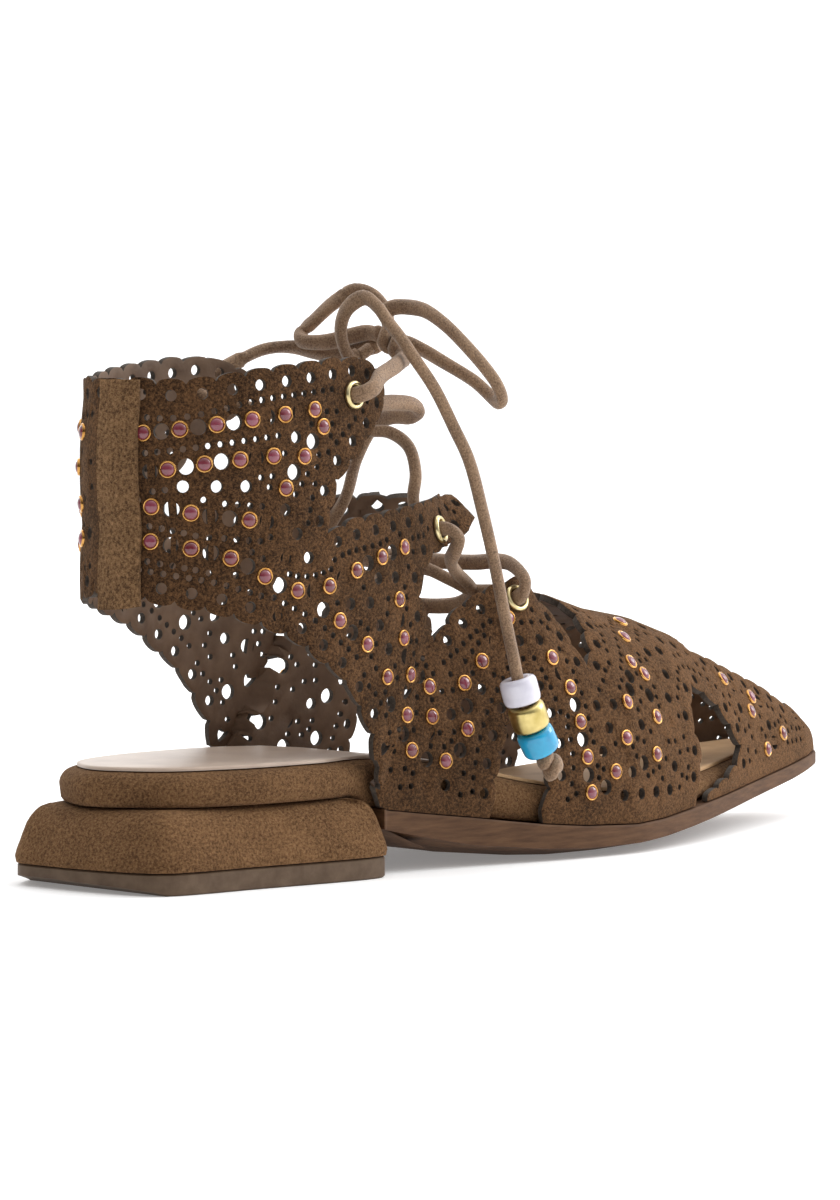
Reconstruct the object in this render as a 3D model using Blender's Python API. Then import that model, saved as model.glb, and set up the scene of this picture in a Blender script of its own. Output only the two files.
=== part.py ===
"""Suede ghillie sandal, right foot. World metres, +X to the toe, +Y to the inner side, +Z up."""

from math import atan2, ceil, cos, degrees, hypot, pi, radians, sin

import bpy
import numpy as np
from mathutils import Vector
from mathutils.geometry import delaunay_2d_cdt

MM = 0.001
CLEAR = 0.3

# Every x below is measured from the back of the footbed; the world's origin lies this far ahead of it.
HEEL_CENTRE = 32.0

# Sole, in mm: x, outer edge y, inner edge y, outsole's under edge z, its upper edge z, footbed's top z
SOLE = (
    (0.0, 0.0, 0.0, 13.0, 18.8, 27.0),
    (4.0, -11.0, 12.0, 13.0, 18.8, 27.0),
    (11.0, -19.0, 19.0, 13.0, 18.8, 27.0),
    (30.0, -26.0, 25.0, 13.0, 18.8, 27.0),
    (62.5, -28.3, 24.9, 12.5, 18.8, 27.0),
    (70.5, -28.6, 24.4, 10.0, 15.2, 26.8),
    (84.0, -29.6, 23.0, 7.2, 13.4, 25.6),
    (97.0, -31.5, 22.0, 4.7, 11.8, 23.4),
    (118.0, -35.5, 25.0, 2.6, 9.0, 18.6),
    (130.0, -37.4, 28.2, 2.0, 7.9, 16.4),
    (148.0, -38.3, 32.4, 2.0, 7.1, 14.4),
    (160.0, -36.5, 34.5, 2.7, 7.6, 14.0),
    (178.0, -32.0, 35.5, 4.4, 9.2, 15.0),
    (196.0, -25.7, 31.5, 6.0, 10.5, 16.2),
    (216.0, -18.2, 24.0, 7.9, 12.2, 17.8),
    (238.0, -10.6, 16.2, 10.2, 14.3, 19.5),
    (251.0, -5.2, 11.6, 11.8, 15.5, 20.4),
    (259.0, -0.6, 7.4, 12.8, 16.2, 21.0),
    (262.0, 3.4, 3.4, 13.2, 16.6, 21.4),
)
OUTSOLE_START = 69.4
OUTSOLE_CROWN = 2.0
CROWN_INSET = 8.0

# Heel, in mm: outline of its foot on the floor, from the far rear corner round the outer side
HEEL_OUTLINE = (
    (-5.0, 17.0),
    (-5.4, 8.0),
    (-4.0, -6.0),
    (-0.4, -20.0),
    (4.0, -25.6),
    (30.0, -29.6),
    (62.0, -33.2),
    (67.0, -31.8),
    (68.4, -27.0),
    (68.4, 24.0),
    (67.0, 28.8),
    (62.0, 30.0),
    (30.0, 27.4),
    (3.0, 23.6),
)
TOP_PIECE_HEIGHT = 5.0
HEEL_BEVEL = 4.0
BLOCK_TOP = 18.8
BLOCK_PROFILE = ((0.1, 0.0), (-0.2, 1.4), (0.9, 4.8), (2.6, 9.2), (4.6, 11.8), (6.6, 13.0), (10.8, 13.5))

# Footbed's rounded side: inset from its outline, then height above its under side and below its top
FOOTBED_INSET = 3.4
FOOTBED_LOW = ((1.6, 0.0), (0.4, 1.0))
FOOTBED_HIGH = ((0.0, 3.6), (0.7, 1.9), (1.9, 0.6), (3.6, 0.0))
LINING_INSET = 4.2
LINING_THICK = 0.9

# Last. Its sections lie in planes through a line across the shoe, at this x and z. Station s counts
# millimetres above it, degrees round it from level to upright, then millimetres ahead of it.
PIVOT_X = 120.0
PIVOT_Z = 112.0
# station s, reach to the front or instep line, half width, reach to the back; a foot section has no back
LAST_ANKLE = (
    (-14.0, 31.0, 28.5, 112.0),
    (0.0, 28.0, 29.0, 112.0),
    (15.0, 25.0, 29.5, 116.0),
    (30.0, 24.0, 30.0, 128.0),
    (45.0, 23.5, 30.5, 130.0),
    (60.0, 23.0, 30.0, 110.0),
)
# station s, reach to the instep line, fullness of the section
LAST_FOOT = (
    (60.0, 23.0, 2.25),
    (75.0, 23.0, 2.25),
    (82.0, 24.4, 2.3),
    (88.0, 28.0, 2.3),
    (94.0, 33.0, 2.3),
    (100.0, 39.0, 2.3),
    (111.0, 47.0, 2.3),
    (132.0, 53.0, 2.25),
    (150.0, 56.0, 2.2),
    (174.0, 63.0, 2.1),
    (200.0, 73.0, 2.0),
    (220.0, 83.0, 2.0),
    (232.0, 91.0, 2.0),
)
UPPER_WALL = 1.9
UPPER_INSET = 0.5
SCALLOP_PITCH = 7.4
SCALLOP_DEPTH = 1.5
SCALLOP_STEPS = 4
SCALLOP_END = 0.55

# Edges of one half of the upper, seen from the side: cut, then x, z pairs in mm
EDGES = (
    ("scallop", ((4.0, 117.4), (10.5, 116.0), (16.0, 115.8), (34.0, 118.4), (63.0, 121.6))),
    ("scallop", ((63.0, 121.6), (71.5, 118.5), (74.5, 113.0), (69.0, 106.6))),
    ("scallop", ((69.0, 106.6), (60.0, 100.0), (52.8, 93.6), (50.6, 86.7), (49.2, 80.2))),
    ("scallop", ((49.2, 80.2), (56.0, 82.6), (76.3, 85.0), (98.0, 87.0), (113.5, 88.4))),
    ("plain", ((113.5, 88.4), (115.0, 83.0), (110.8, 80.6))),
    ("scallop", ((110.8, 80.6), (102.4, 78.4), (88.5, 74.8), (82.8, 67.0), (84.6, 60.0), (89.7, 54.2))),
    ("scallop", ((89.7, 54.2), (100.0, 61.0), (110.5, 65.6), (121.5, 68.6))),
    ("plain", ((121.5, 68.6), (125.5, 66.5), (126.2, 62.5))),
    ("scallop", ((126.2, 62.5), (130.5, 58.6), (132.6, 53.8), (137.6, 45.8))),
    ("scallop", ((137.6, 45.8), (142.3, 49.8), (145.0, 54.6), (147.0, 58.0), (149.0, 75.0))),
    ("centre", ((149.0, 75.0), (195.0, 65.0))),
    ("plain", ((195.0, 65.0), (196.6, 46.4))),
    ("scallop", ((196.6, 46.4), (217.0, 39.6), (234.5, 33.8), (247.0, 28.6), (254.0, 40.0))),
    ("centre", ((254.0, 40.0), (259.0, 40.0))),
    ("plain", ((259.0, 40.0), (259.0, 0.0))),
    ("foot", ((259.0, 0.0), (183.0, 0.0))),
    ("scallop", ((183.0, 11.0), (199.0, 15.0), (206.5, 21.0), (203.0, 26.6), (195.7, 34.4), (184.0, 39.6))),
    ("scallop", ((184.0, 39.6), (177.5, 31.0), (179.3, 22.0), (176.0, 12.0))),
    ("foot", ((176.0, 0.0), (117.0, 0.0))),
    ("scallop", ((117.0, 11.0), (121.0, 22.0), (119.8, 34.0), (115.0, 44.6))),
    ("scallop", ((115.0, 44.6), (108.6, 36.0), (103.6, 23.0), (102.5, 14.0))),
    ("foot", ((102.0, 13.0), (69.0, 16.6))),
    ("scallop", ((67.5, 20.0), (66.6, 27.0), (65.0, 34.0), (60.4, 40.8), (55.4, 47.0))),
    ("scallop", ((55.4, 47.0), (49.2, 51.9), (42.4, 56.8), (35.0, 60.3), (22.4, 64.4), (9.0, 66.8),
                 (4.0, 67.2))),
    ("back", ((4.0, 67.2), (4.0, 117.4))),
)

# Large punched holes in rows, seen from the side: first x, z, last x, z, holes, diameter
HOLE_ROWS = (
    (13.5, 104.8, 20.4, 105.6, 2, 4.3),
    (27.2, 106.8, 41.4, 109.2, 3, 4.3),
    (17.4, 96.8, 33.2, 99.2, 3, 4.3),
    (40.4, 94.2, 55.0, 105.2, 2, 4.3),
    (14.2, 86.4, 21.8, 85.2, 2, 4.3),
    (27.0, 89.0, 34.0, 87.4, 2, 4.3),
    (14.2, 77.8, 28.2, 74.6, 3, 4.3),
    (34.4, 70.8, 42.2, 67.6, 2, 4.3),
    (49.8, 69.2, 67.6, 75.0, 3, 4.3),
    (48.6, 61.0, 57.6, 57.0, 2, 4.3),
    (64.6, 64.6, 66.0, 51.4, 2, 4.3),
    (70.6, 40.6, 72.4, 31.2, 2, 4.3),
    (83.6, 46.4, 85.0, 33.0, 2, 4.6),
    (86.4, 25.4, 99.0, 30.0, 2, 4.3),
    (91.6, 43.6, 95.6, 50.4, 2, 4.3),
    (104.6, 55.2, 110.0, 50.4, 2, 4.3),
    (122.4, 45.2, 126.0, 36.0, 2, 4.3),
    (129.0, 30.6, 130.4, 21.4, 2, 4.3),
    (137.4, 27.6, 139.4, 17.0, 2, 4.6),
    (148.4, 21.0, 156.4, 27.6, 2, 4.3),
    (141.4, 39.4, 150.4, 45.4, 2, 4.3),
    (154.6, 38.8, 166.6, 47.6, 2, 4.3),
    (164.6, 33.6, 167.4, 24.0, 2, 4.6),
    (201.4, 40.0, 217.0, 34.4, 2, 4.3),
    (213.4, 28.0, 226.4, 26.0, 2, 4.3),
)
HOLE_SIDES = 7

# Eyelets, seen from the side: x, z in mm. The lace goes through them
EYELETS = (("top", 59.6, 113.2), ("middle", 95.6, 80.6), ("front", 116.6, 63.4))
EYELET_HOLE = 2.4
EYELET_WALL = 0.4
EYELET_CUT = EYELET_HOLE + EYELET_WALL + 0.6
EYELET_FLANGE = 3.9
EYELET_RIM = 0.8
EYELET_SEAT = 0.5
EYELET_SIDES = 12

STRIP_NEAR = 157.0
STRIP_FAR = 181.0
STRIP_LOW = 20.6
STRIP_HIGH = -5.0
STRIP_THICK = 1.2

LACE_RADIUS = 2.0


def collection(name, hidden=False):
    made = bpy.data.collections.new(name)
    made.hide_render = hidden
    bpy.context.scene.collection.children.link(made)
    return made


def material(name, colour, roughness, metallic=0.0):
    made = bpy.data.materials.new(name)
    made.use_nodes = True
    shader = made.node_tree.nodes["Principled BSDF"]
    shader.inputs["Base Color"].default_value = (*colour, 1.0)
    shader.inputs["Roughness"].default_value = roughness
    shader.inputs["Metallic"].default_value = metallic
    return made


def solid(name, points, faces, look):
    mesh = bpy.data.meshes.new(name)
    shifted = [((x - HEEL_CENTRE) * MM, y * MM, z * MM) for x, y, z in points]
    mesh.from_pydata(shifted, [], faces)
    mesh.materials.append(look)
    made = bpy.data.objects.new(name, mesh)
    SANDAL.objects.link(made)
    return made


def catmull(points, steps, closed=True):
    """Centripetal spline through the points, so that uneven spacing gives no loop."""
    points = [np.array(p, float) for p in points]
    count = len(points)
    out = []
    for i in range(count if closed else count - 1):
        if closed:
            four = [points[(i + k) % count] for k in (-1, 0, 1, 2)]
        else:
            four = [points[min(max(i + k, 0), count - 1)] for k in (-1, 0, 1, 2)]
            if i == 0:
                four[0] = 2 * four[1] - four[2]
            if i == count - 2:
                four[3] = 2 * four[2] - four[1]
        knots = [0.0]
        for a, b in zip(four[:-1], four[1:]):
            knots.append(knots[-1] + max(float(np.linalg.norm(b - a)), 1e-6) ** 0.5)
        for k in range(steps):
            t = knots[1] + (knots[2] - knots[1]) * k / steps
            level = four
            for depth in (1, 2, 3):
                level = [
                    (a * (hi - t) + b * (t - lo)) / (hi - lo)
                    for a, b, lo, hi in mixes(level, knots, depth)
                ]
            out.append(level[0])
    if not closed:
        out.append(points[-1])
    return np.array(out)


def mixes(level, knots, depth):
    """Neighbours of one level of the spline's pyramid, with the span that each pair is mixed over."""
    for i, (a, b) in enumerate(zip(level[:-1], level[1:])):
        if depth == 2:
            yield a, b, knots[i], knots[i + 2]
        elif depth == 1:
            yield a, b, knots[i], knots[i + 1]
        else:
            yield a, b, knots[1], knots[2]


def inset(outline, amount):
    """Outline moved inwards by one or more amounts: its length shrinks, and its width makes up the rest."""
    turn = 1.0 if signed_area(outline) > 0 else -1.0
    amount = np.broadcast_to(np.asarray(amount, float), (len(outline),))
    ahead = np.roll(outline, -1, axis=0) - np.roll(outline, 1, axis=0)
    ahead /= np.linalg.norm(ahead, axis=1)[:, None]
    across_x, across_y = -turn * ahead[:, 1], turn * ahead[:, 0]
    x, y = outline[:, 0], outline[:, 1]
    half = 0.5 * (x.max() - x.min())
    shift = -amount * (x - x.min() - half) / half
    rest = (amount - shift * across_x) * np.sign(across_y) / np.maximum(np.abs(across_y), 0.35)
    rest = rest * np.clip(np.abs(across_y) / 0.35, 0.0, 1.0)
    middle = np.interp(x, [120.0, 200.0, 262.0], [0.0, 3.0, 3.0])
    room = 0.9 * np.abs(y - middle)
    return np.column_stack([x + shift, y + np.clip(rest, -room, room)])


def signed_area(loop):
    x, y = loop[:, 0], loop[:, 1]
    return 0.5 * float(np.sum(x * np.roll(y, -1) - np.roll(x, -1) * y))


def triangulated(loop):
    corners = [Vector((float(x), float(y))) for x, y in loop]
    ring = [(i, (i + 1) % len(corners)) for i in range(len(corners))]
    found = delaunay_2d_cdt(corners, ring, [], 1, 1e-7)
    faces = []
    for face in found[2]:
        a, b, c = (found[3][k][0] for k in face)
        pa, pb, pc = loop[a], loop[b], loop[c]
        area = (pb[0] - pa[0]) * (pc[1] - pa[1]) - (pc[0] - pa[0]) * (pb[1] - pa[1])
        faces.append((a, b, c) if area > 0 else (a, c, b))
    return faces


def plate(name, rings, look):
    """Closed slab through rings of equal count, each an array of x, y, z, from the lowest to the highest."""
    count = len(rings[0])
    points = [tuple(p) for ring in rings for p in ring]
    clockwise = signed_area(rings[0]) < 0
    faces = []
    for level in range(len(rings) - 1):
        low = level * count
        for i in range(count):
            j = (i + 1) % count
            quad = (low + i, low + j, low + count + j, low + count + i)
            faces.append(quad[::-1] if clockwise else quad)
    under = triangulated(rings[0][:, :2])
    over = triangulated(rings[-1][:, :2])
    top = (len(rings) - 1) * count
    faces += [(a, c, b) for a, b, c in under]
    faces += [(top + a, top + b, top + c) for a, b, c in over]
    return solid(name, points, faces, look)


def sole_column(x, column):
    return np.interp(x, [row[0] for row in SOLE], [row[column] for row in SOLE])


def with_heights(outline, heights):
    return np.column_stack([outline, heights])


def build_sole():
    outer = [(row[0], row[1]) for row in SOLE]
    inner = [(row[0], row[2]) for row in SOLE[1:-1]]
    outline = catmull(outer + inner[::-1], 3)
    heel = catmull(HEEL_OUTLINE, 3)

    def lifted(loop, height):
        # The rear of the top-piece is bevelled off the floor.
        bevel = np.interp(loop[:, 0], [-5.0, HEEL_BEVEL], [2.2, 0.0])
        return bevel * (1.0 - height / TOP_PIECE_HEIGHT) + height

    foot = inset(heel, 1.0)
    foot[:, 0] = np.maximum(foot[:, 0], HEEL_BEVEL)
    rings = [with_heights(foot, np.zeros(len(foot))), with_heights(inset(heel, 0.4), lifted(heel, 0.5))]
    rings.append(with_heights(inset(heel, 0.4), np.full(len(heel), TOP_PIECE_HEIGHT)))
    plate("heel_top_piece", rings, RUBBER)

    base = TOP_PIECE_HEIGHT + CLEAR
    rings = [with_heights(inset(heel, d), np.full(len(heel), base + h)) for d, h in BLOCK_PROFILE]
    plate("heel_block", rings, HEEL_SUEDE)

    ahead = [(OUTSOLE_START, sole_column(OUTSOLE_START, 1))] + [p for p in outer if p[0] > OUTSOLE_START]
    behind = [(OUTSOLE_START, sole_column(OUTSOLE_START, 2))] + [p for p in inner if p[0] > OUTSOLE_START]
    front = catmull(ahead + behind[::-1], 3)
    front = front[front[:, 0] >= OUTSOLE_START - 0.001]
    crown = inset(front, CROWN_INSET)
    crown[:, 0] = np.maximum(crown[:, 0], OUTSOLE_START)
    near_tip = crown[:, 0] > 246.0
    crown[near_tip] = 0.5 * (crown[near_tip] + front[near_tip])
    middle = inset(front, 3.0)
    middle[:, 0] = np.maximum(middle[:, 0], OUTSOLE_START)
    under = sole_column(crown[:, 0], 3)
    rings = [with_heights(crown, np.maximum(under - OUTSOLE_CROWN, 0.0))]
    rings.append(with_heights(middle, sole_column(middle[:, 0], 3) - 0.9))
    rings.append(with_heights(front, sole_column(front[:, 0], 3) + 0.6))
    rings.append(with_heights(front, sole_column(front[:, 0], 4)))
    plate("outsole", rings, LEATHER)

    bed = inset(outline, np.interp(outline[:, 0], [54.0, 66.0], [0.0, FOOTBED_INSET]))
    low = sole_column(bed[:, 0], 4) + CLEAR
    high = sole_column(bed[:, 0], 5)
    rings = [with_heights(inset(bed, d), low + h) for d, h in FOOTBED_LOW]
    rings += [with_heights(inset(bed, d), high - h) for d, h in FOOTBED_HIGH]
    plate("footbed", rings, FOOTBED_SUEDE)

    lining = inset(bed, LINING_INSET)
    floor = sole_column(lining[:, 0], 5) + CLEAR
    rings = [with_heights(lining, floor), with_heights(lining, floor + 0.5 * LINING_THICK)]
    rings.append(with_heights(inset(lining, 0.5), floor + LINING_THICK))
    plate("sock_lining", rings, SOCK)
    return outline


def edge_of_sole(x, side):
    """Distance of the upper's face from the middle plane at the sole, on the outer (-1) or inner side."""
    column = 1 if side < 0 else 2
    slope = (sole_column(x + 1.0, column) - sole_column(x - 1.0, column)) / 2.0
    return side * sole_column(x, column) - UPPER_INSET * hypot(1.0, slope)


def power(value, exponent):
    return abs(value) ** exponent * (1.0 if value >= 0 else -1.0)


def section(s):
    """The last's section at station s: start, direction, reaches, half widths, middle, sweep, fullness."""
    if s <= 0:
        start, way = (PIVOT_X, PIVOT_Z - s), (-1.0, 0.0)
    elif s <= 90:
        start, way = (PIVOT_X, PIVOT_Z), (-cos(radians(s)), -sin(radians(s)))
    else:
        start, way = (PIVOT_X + s - 90.0, PIVOT_Z), (0.0, -1.0)
    if s < 60:
        rows = np.array(LAST_ANKLE)
        front, half, back = (np.interp(s, rows[:, 0], rows[:, k]) for k in (1, 2, 3))
        middle, outer, inner = 0.0, half, half - 1.5 * max(0.0, (s - 20.0) / 40.0)
        full = np.interp(s, [0.0, 60.0], [2.0, 2.25])
    else:
        rows = np.array(LAST_FOOT)
        front, full = (np.interp(s, rows[:, 0], rows[:, k]) for k in (1, 2))
        back = 100.0
        for _ in range(8):
            back = (PIVOT_Z - sole_column(start[0] + way[0] * back, 4) - CLEAR) / -way[1]
        x = start[0] + way[0] * back
        middle = np.interp(x, [110.0, 200.0, 262.0], [0.0, 2.5, 3.0])
        outer = middle + edge_of_sole(x, -1)
        inner = edge_of_sole(x, 1) - middle
        outer, inner = max(outer, 3.2), max(inner, 3.2)
    sweep = np.interp(s, [25.0, 58.0], [180.0, 90.0])
    return start, way, front, back, outer, inner, middle, sweep, full


def skin(s, angle, side):
    """Point of the last: angle runs from the instep line at 0 to the back or the sole at the sweep."""
    start, way, front, back, outer, inner, middle, sweep, full = section(s)
    lowest = power(cos(radians(sweep)), 2.0 / full)
    share = (1.0 - power(cos(radians(angle)), 2.0 / full)) / (1.0 - lowest)
    reach = front + (back - front) * share
    half = outer if side < 0 else inner
    across = middle + side * half * power(sin(radians(angle)), 2.0 / full)
    return np.array([start[0] + way[0] * reach, across, start[1] + way[1] * reach])


def skin_frame(s, angle, side):
    """Point, outward normal, and the point's change with s and with the angle."""
    sweep = section(s)[7]
    low, high = max(angle - 0.5, 0.01), min(angle + 0.5, sweep - 0.01)
    along = (skin(min(s + 0.4, 230.5), angle, side) - skin(s - 0.4, angle, side))
    along /= min(s + 0.4, 230.5) - (s - 0.4)
    round_ = (skin(s, high, side) - skin(s, low, side)) / (high - low)
    if angle < 0.02 or angle > 179.9:
        round_ = np.array([0.0, side * (1.0 if angle < 1.0 else -1.0), 0.0])
        along[1] = 0.0
    normal = np.cross(along, round_) * side
    return skin(s, angle, side), normal / np.linalg.norm(normal), along, round_


def at_side(x, z):
    """Station and angle of the point that is seen at x, z from the side."""
    if z >= PIVOT_Z:
        s, reach = PIVOT_Z - z, PIVOT_X - x
    elif x >= PIVOT_X:
        s, reach = 90.0 + x - PIVOT_X, PIVOT_Z - z
    else:
        s, reach = degrees(atan2(PIVOT_Z - z, PIVOT_X - x)), hypot(PIVOT_X - x, PIVOT_Z - z)
    _, _, front, back, _, _, _, sweep, full = section(s)
    lowest = power(cos(radians(sweep)), 2.0 / full)
    value = 1.0 - (reach - front) / (back - front) * (1.0 - lowest)
    value = power(min(max(value, lowest), 1.0), full / 2.0)
    value = min(max(value, -1.0), 1.0)
    angle = degrees(np.arccos(value))
    return s, (180.0 if angle > 174.0 else angle)


def moved(s, angle, along_mm, across_mm, tangent):
    """Station and angle of a point a few millimetres away, along a tangent and square to it, outwards."""
    _, normal, per_s, per_angle = skin_frame(s, angle, -1)
    sideways = np.cross(normal, tangent)
    step = tangent * along_mm + sideways * across_mm
    basis = np.stack([per_s, per_angle], axis=1)
    change = np.linalg.lstsq(basis, step, rcond=None)[0]
    return s + change[0], angle + change[1]


def fine(points, step):
    """Side-view points to station and angle, with a point about each step of millimetres."""
    out = []
    for (xa, za), (xb, zb) in zip(points[:-1], points[1:]):
        (sa, aa), (sb, ab) = at_side(xa, za), at_side(xb, zb)
        length = np.linalg.norm(skin(sa, aa, -1) - skin(sb, ab, -1))
        parts = max(1, ceil(length / step))
        out += [(sa + (sb - sa) * k / parts, aa + (ab - aa) * k / parts) for k in range(parts)]
    out.append(at_side(*points[-1]))
    return out


def along_path(path, marks):
    """Stations, angles and tangents at the given shares of a path's real length."""
    places = np.array([skin(s, a, -1) for s, a in path])
    lengths = np.concatenate([[0.0], np.cumsum(np.linalg.norm(np.diff(places, axis=0), axis=1))])
    found = []
    for mark in marks:
        at = mark * lengths[-1]
        s = np.interp(at, lengths, [p[0] for p in path])
        a = np.interp(at, lengths, [p[1] for p in path])
        ends = [np.array([np.interp(np.clip(at + d, 0, lengths[-1]), lengths, places[:, k])
                          for k in range(3)]) for d in (-0.5, 0.5)]
        tangent = ends[1] - ends[0]
        found.append((s, a, tangent / np.linalg.norm(tangent)))
    return found, lengths[-1]


def half_outline():
    """One half of the upper's outline in station and angle, with its scallops."""
    loop = []
    for cut, points in EDGES:
        if cut == "scallop":
            path = fine(catmull(points, 4, closed=False).tolist(), 2.0)
            _, length = along_path(path, [])
            lobes = max(1, round(length / SCALLOP_PITCH))
            marks = [k / (lobes * SCALLOP_STEPS) for k in range(lobes * SCALLOP_STEPS + 1)]
            found, _ = along_path(path, marks)
            for k, (s, a, tangent) in enumerate(found[:-1]):
                phase = (k % SCALLOP_STEPS) / SCALLOP_STEPS
                bulge = SCALLOP_DEPTH * (1.0 - (2.0 * phase - 1.0) ** 2) ** 0.5
                if k // SCALLOP_STEPS in (0, lobes - 1):
                    bulge *= SCALLOP_END
                on_line = a < 0.05 or a > 179.9
                loop.append((s, a) if k == 0 or on_line else moved(s, a, 0.0, bulge, tangent))
        elif cut == "foot":
            (sa, _), (sb, _) = at_side(*points[0]), at_side(*points[1])
            parts = ceil(abs(sa - sb) / 5.0)
            for k in range(parts + 1):
                s = sa + (sb - sa) * k / parts
                loop.append((s, section(s)[7]))
        else:
            loop += fine(points, 5.0)[:-1]
    whole = []
    for s, a in loop:
        sweep = section(s)[7]
        a = 0.0 if a < 0.6 else min(a, sweep)
        if s < 25 and a > 177.5:
            a = 180.0
        if not whole or hypot(s - whole[-1][0], a - whole[-1][1]) > 0.3:
            whole.append((s, a))
    return whole


def round_hole(s, angle, radius, sides):
    """Loop round a hole, in station and angle, so that it is round on the surface."""
    _, normal, per_s, per_angle = skin_frame(s, angle, -1)
    tangent = per_s / np.linalg.norm(per_s)
    other = np.cross(normal, tangent)
    basis = np.stack([per_s, per_angle], axis=1)
    loop = []
    for k in range(sides):
        turn = 2.0 * pi * k / sides
        step = radius * (cos(turn) * tangent + sin(turn) * other)
        change = np.linalg.lstsq(basis, step, rcond=None)[0]
        loop.append((s + change[0], angle + change[1]))
    return loop


def inside(point, loop):
    x, y = point
    hit = False
    for (xa, ya), (xb, yb) in zip(loop, loop[1:] + loop[:1]):
        if (ya > y) != (yb > y) and x < xa + (y - ya) * (xb - xa) / (yb - ya):
            hit = not hit
    return hit


def half_net():
    """Flat triangulation of one half: points in station and angle, triangles."""
    outer = half_outline()
    holes = [round_hole(*at_side(x, z), EYELET_CUT, 10) for _, x, z in EYELETS]
    for xa, za, xb, zb, count, size in HOLE_ROWS:
        for k in range(count):
            share = k / max(1, count - 1)
            place = at_side(xa + (xb - xa) * share, za + (zb - za) * share)
            holes.append(round_hole(*place, 0.5 * size, HOLE_SIDES))
    loops = [outer] + holes
    points, edges = [], []
    for loop in loops:
        first = len(points)
        points += loop
        edges += [(first + k, first + (k + 1) % len(loop)) for k in range(len(loop))]
    rim = np.array(points)
    for row, s in enumerate(np.arange(-8.0, 230.0, 6.0)):
        for angle in np.arange(4.0 + 4.0 * (row % 2), 178.0, 8.0):
            if min(np.hypot(rim[:, 0] - s, 0.8 * (rim[:, 1] - angle))) > 3.4 and inside((s, angle), outer):
                points.append((float(s), float(angle)))
    flat = [Vector((s, 0.8 * a)) for s, a in points]
    verts, _, faces, origins, _, _ = delaunay_2d_cdt(flat, edges, [], 0, 1e-6)
    places = [points[o[0]] if o else (v.x, v.y / 0.8) for v, o in zip(verts, origins)]
    kept = []
    for face in faces:
        middle = tuple(sum(places[k][axis] for k in face) / 3.0 for axis in (0, 1))
        if inside(middle, outer) and not any(inside(middle, hole) for hole in holes):
            (sa, aa), (sb, ab), (sc, ac) = (places[k] for k in face)
            ahead = (sb - sa) * (ac - aa) - (sc - sa) * (ab - aa) > 0
            kept.append(tuple(face) if ahead else tuple(face)[::-1])
    return places, kept


def build_upper():
    places, net = half_net()
    points, number = [], {}
    for side in (-1, 1):
        for k, (s, angle) in enumerate(places):
            shared = angle <= 0.0 or angle >= 180.0
            if shared and side > 0:
                number[(side, k)] = number[(-1, k)]
                continue
            here, normal, _, _ = skin_frame(s, angle, side)
            number[(side, k)] = len(points)
            points += [here, here - normal * UPPER_WALL]
    faces, rims = [], {}
    for side in (-1, 1):
        for face in net:
            a, b, c = (number[(side, k)] for k in (face if side < 0 else face[::-1]))
            faces += [(a, c, b), (a + 1, b + 1, c + 1)]
            for edge in ((a, c), (c, b), (b, a)):
                rims[edge] = True
    for a, b in rims:
        if (b, a) not in rims:
            faces += [(b, a, a + 1), (b, a + 1, b + 1)]
    return solid("upper", points, faces, SUEDE)


def build_strip():
    """Back strip: a curved patch outside the cuff's back seam."""
    rows, columns = 8, 7
    points = []
    for i in range(rows + 1):
        s = STRIP_HIGH + (STRIP_LOW - STRIP_HIGH) * i / rows
        for j in range(columns + 1):
            angle = STRIP_NEAR + (STRIP_FAR - STRIP_NEAR) * j / columns
            side = -1 if angle <= 180.0 else 1
            here, normal, _, _ = skin_frame(s, angle if side < 0 else 360.0 - angle, side)
            points += [here + normal * CLEAR, here + normal * (CLEAR + STRIP_THICK)]
    faces = []
    wide = columns + 1

    def at(i, j, k):
        return 2 * (i * wide + j) + k

    for i in range(rows):
        for j in range(columns):
            faces.append((at(i, j, 1), at(i, j + 1, 1), at(i + 1, j + 1, 1), at(i + 1, j, 1)))
            faces.append((at(i, j, 0), at(i + 1, j, 0), at(i + 1, j + 1, 0), at(i, j + 1, 0)))
    for i in range(rows):
        faces.append((at(i, 0, 0), at(i, 0, 1), at(i + 1, 0, 1), at(i + 1, 0, 0)))
        faces.append((at(i, columns, 0), at(i + 1, columns, 0), at(i + 1, columns, 1), at(i, columns, 1)))
    for j in range(columns):
        faces.append((at(0, j, 0), at(0, j + 1, 0), at(0, j + 1, 1), at(0, j, 1)))
        faces.append((at(rows, j, 0), at(rows, j, 1), at(rows, j + 1, 1), at(rows, j + 1, 0)))
    made = solid("back_strip", points, faces, SUEDE)
    face_out(made)
    return made


def face_out(made):
    """Turns every face outwards on a closed mesh."""
    mesh = made.data
    volume = 0.0
    for polygon in mesh.polygons:
        corners = [mesh.vertices[k].co for k in polygon.vertices]
        for b, c in zip(corners[1:-1], corners[2:]):
            volume += corners[0].dot(b.cross(c))
    if volume < 0:
        mesh.flip_normals()


def lathe(name, place, axis, profile, look, sides=16):
    """Ring turned about an axis at a place: profile rows are radius and height."""
    axis = axis / np.linalg.norm(axis)
    first = np.cross(axis, [0.0, 0.0, 1.0])
    first /= np.linalg.norm(first)
    second = np.cross(axis, first)
    points, faces = [], []
    for k in range(sides):
        turn = 2.0 * pi * k / sides
        out = cos(turn) * first + sin(turn) * second
        points += [place + out * radius + axis * height for radius, height in profile]
    count = len(profile)
    for k in range(sides):
        low, high = k * count, ((k + 1) % sides) * count
        for i in range(count):
            j = (i + 1) % count
            faces.append((low + i, low + j, high + j, high + i))
    made = solid(name, points, faces, look)
    face_out(made)
    return made


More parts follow.
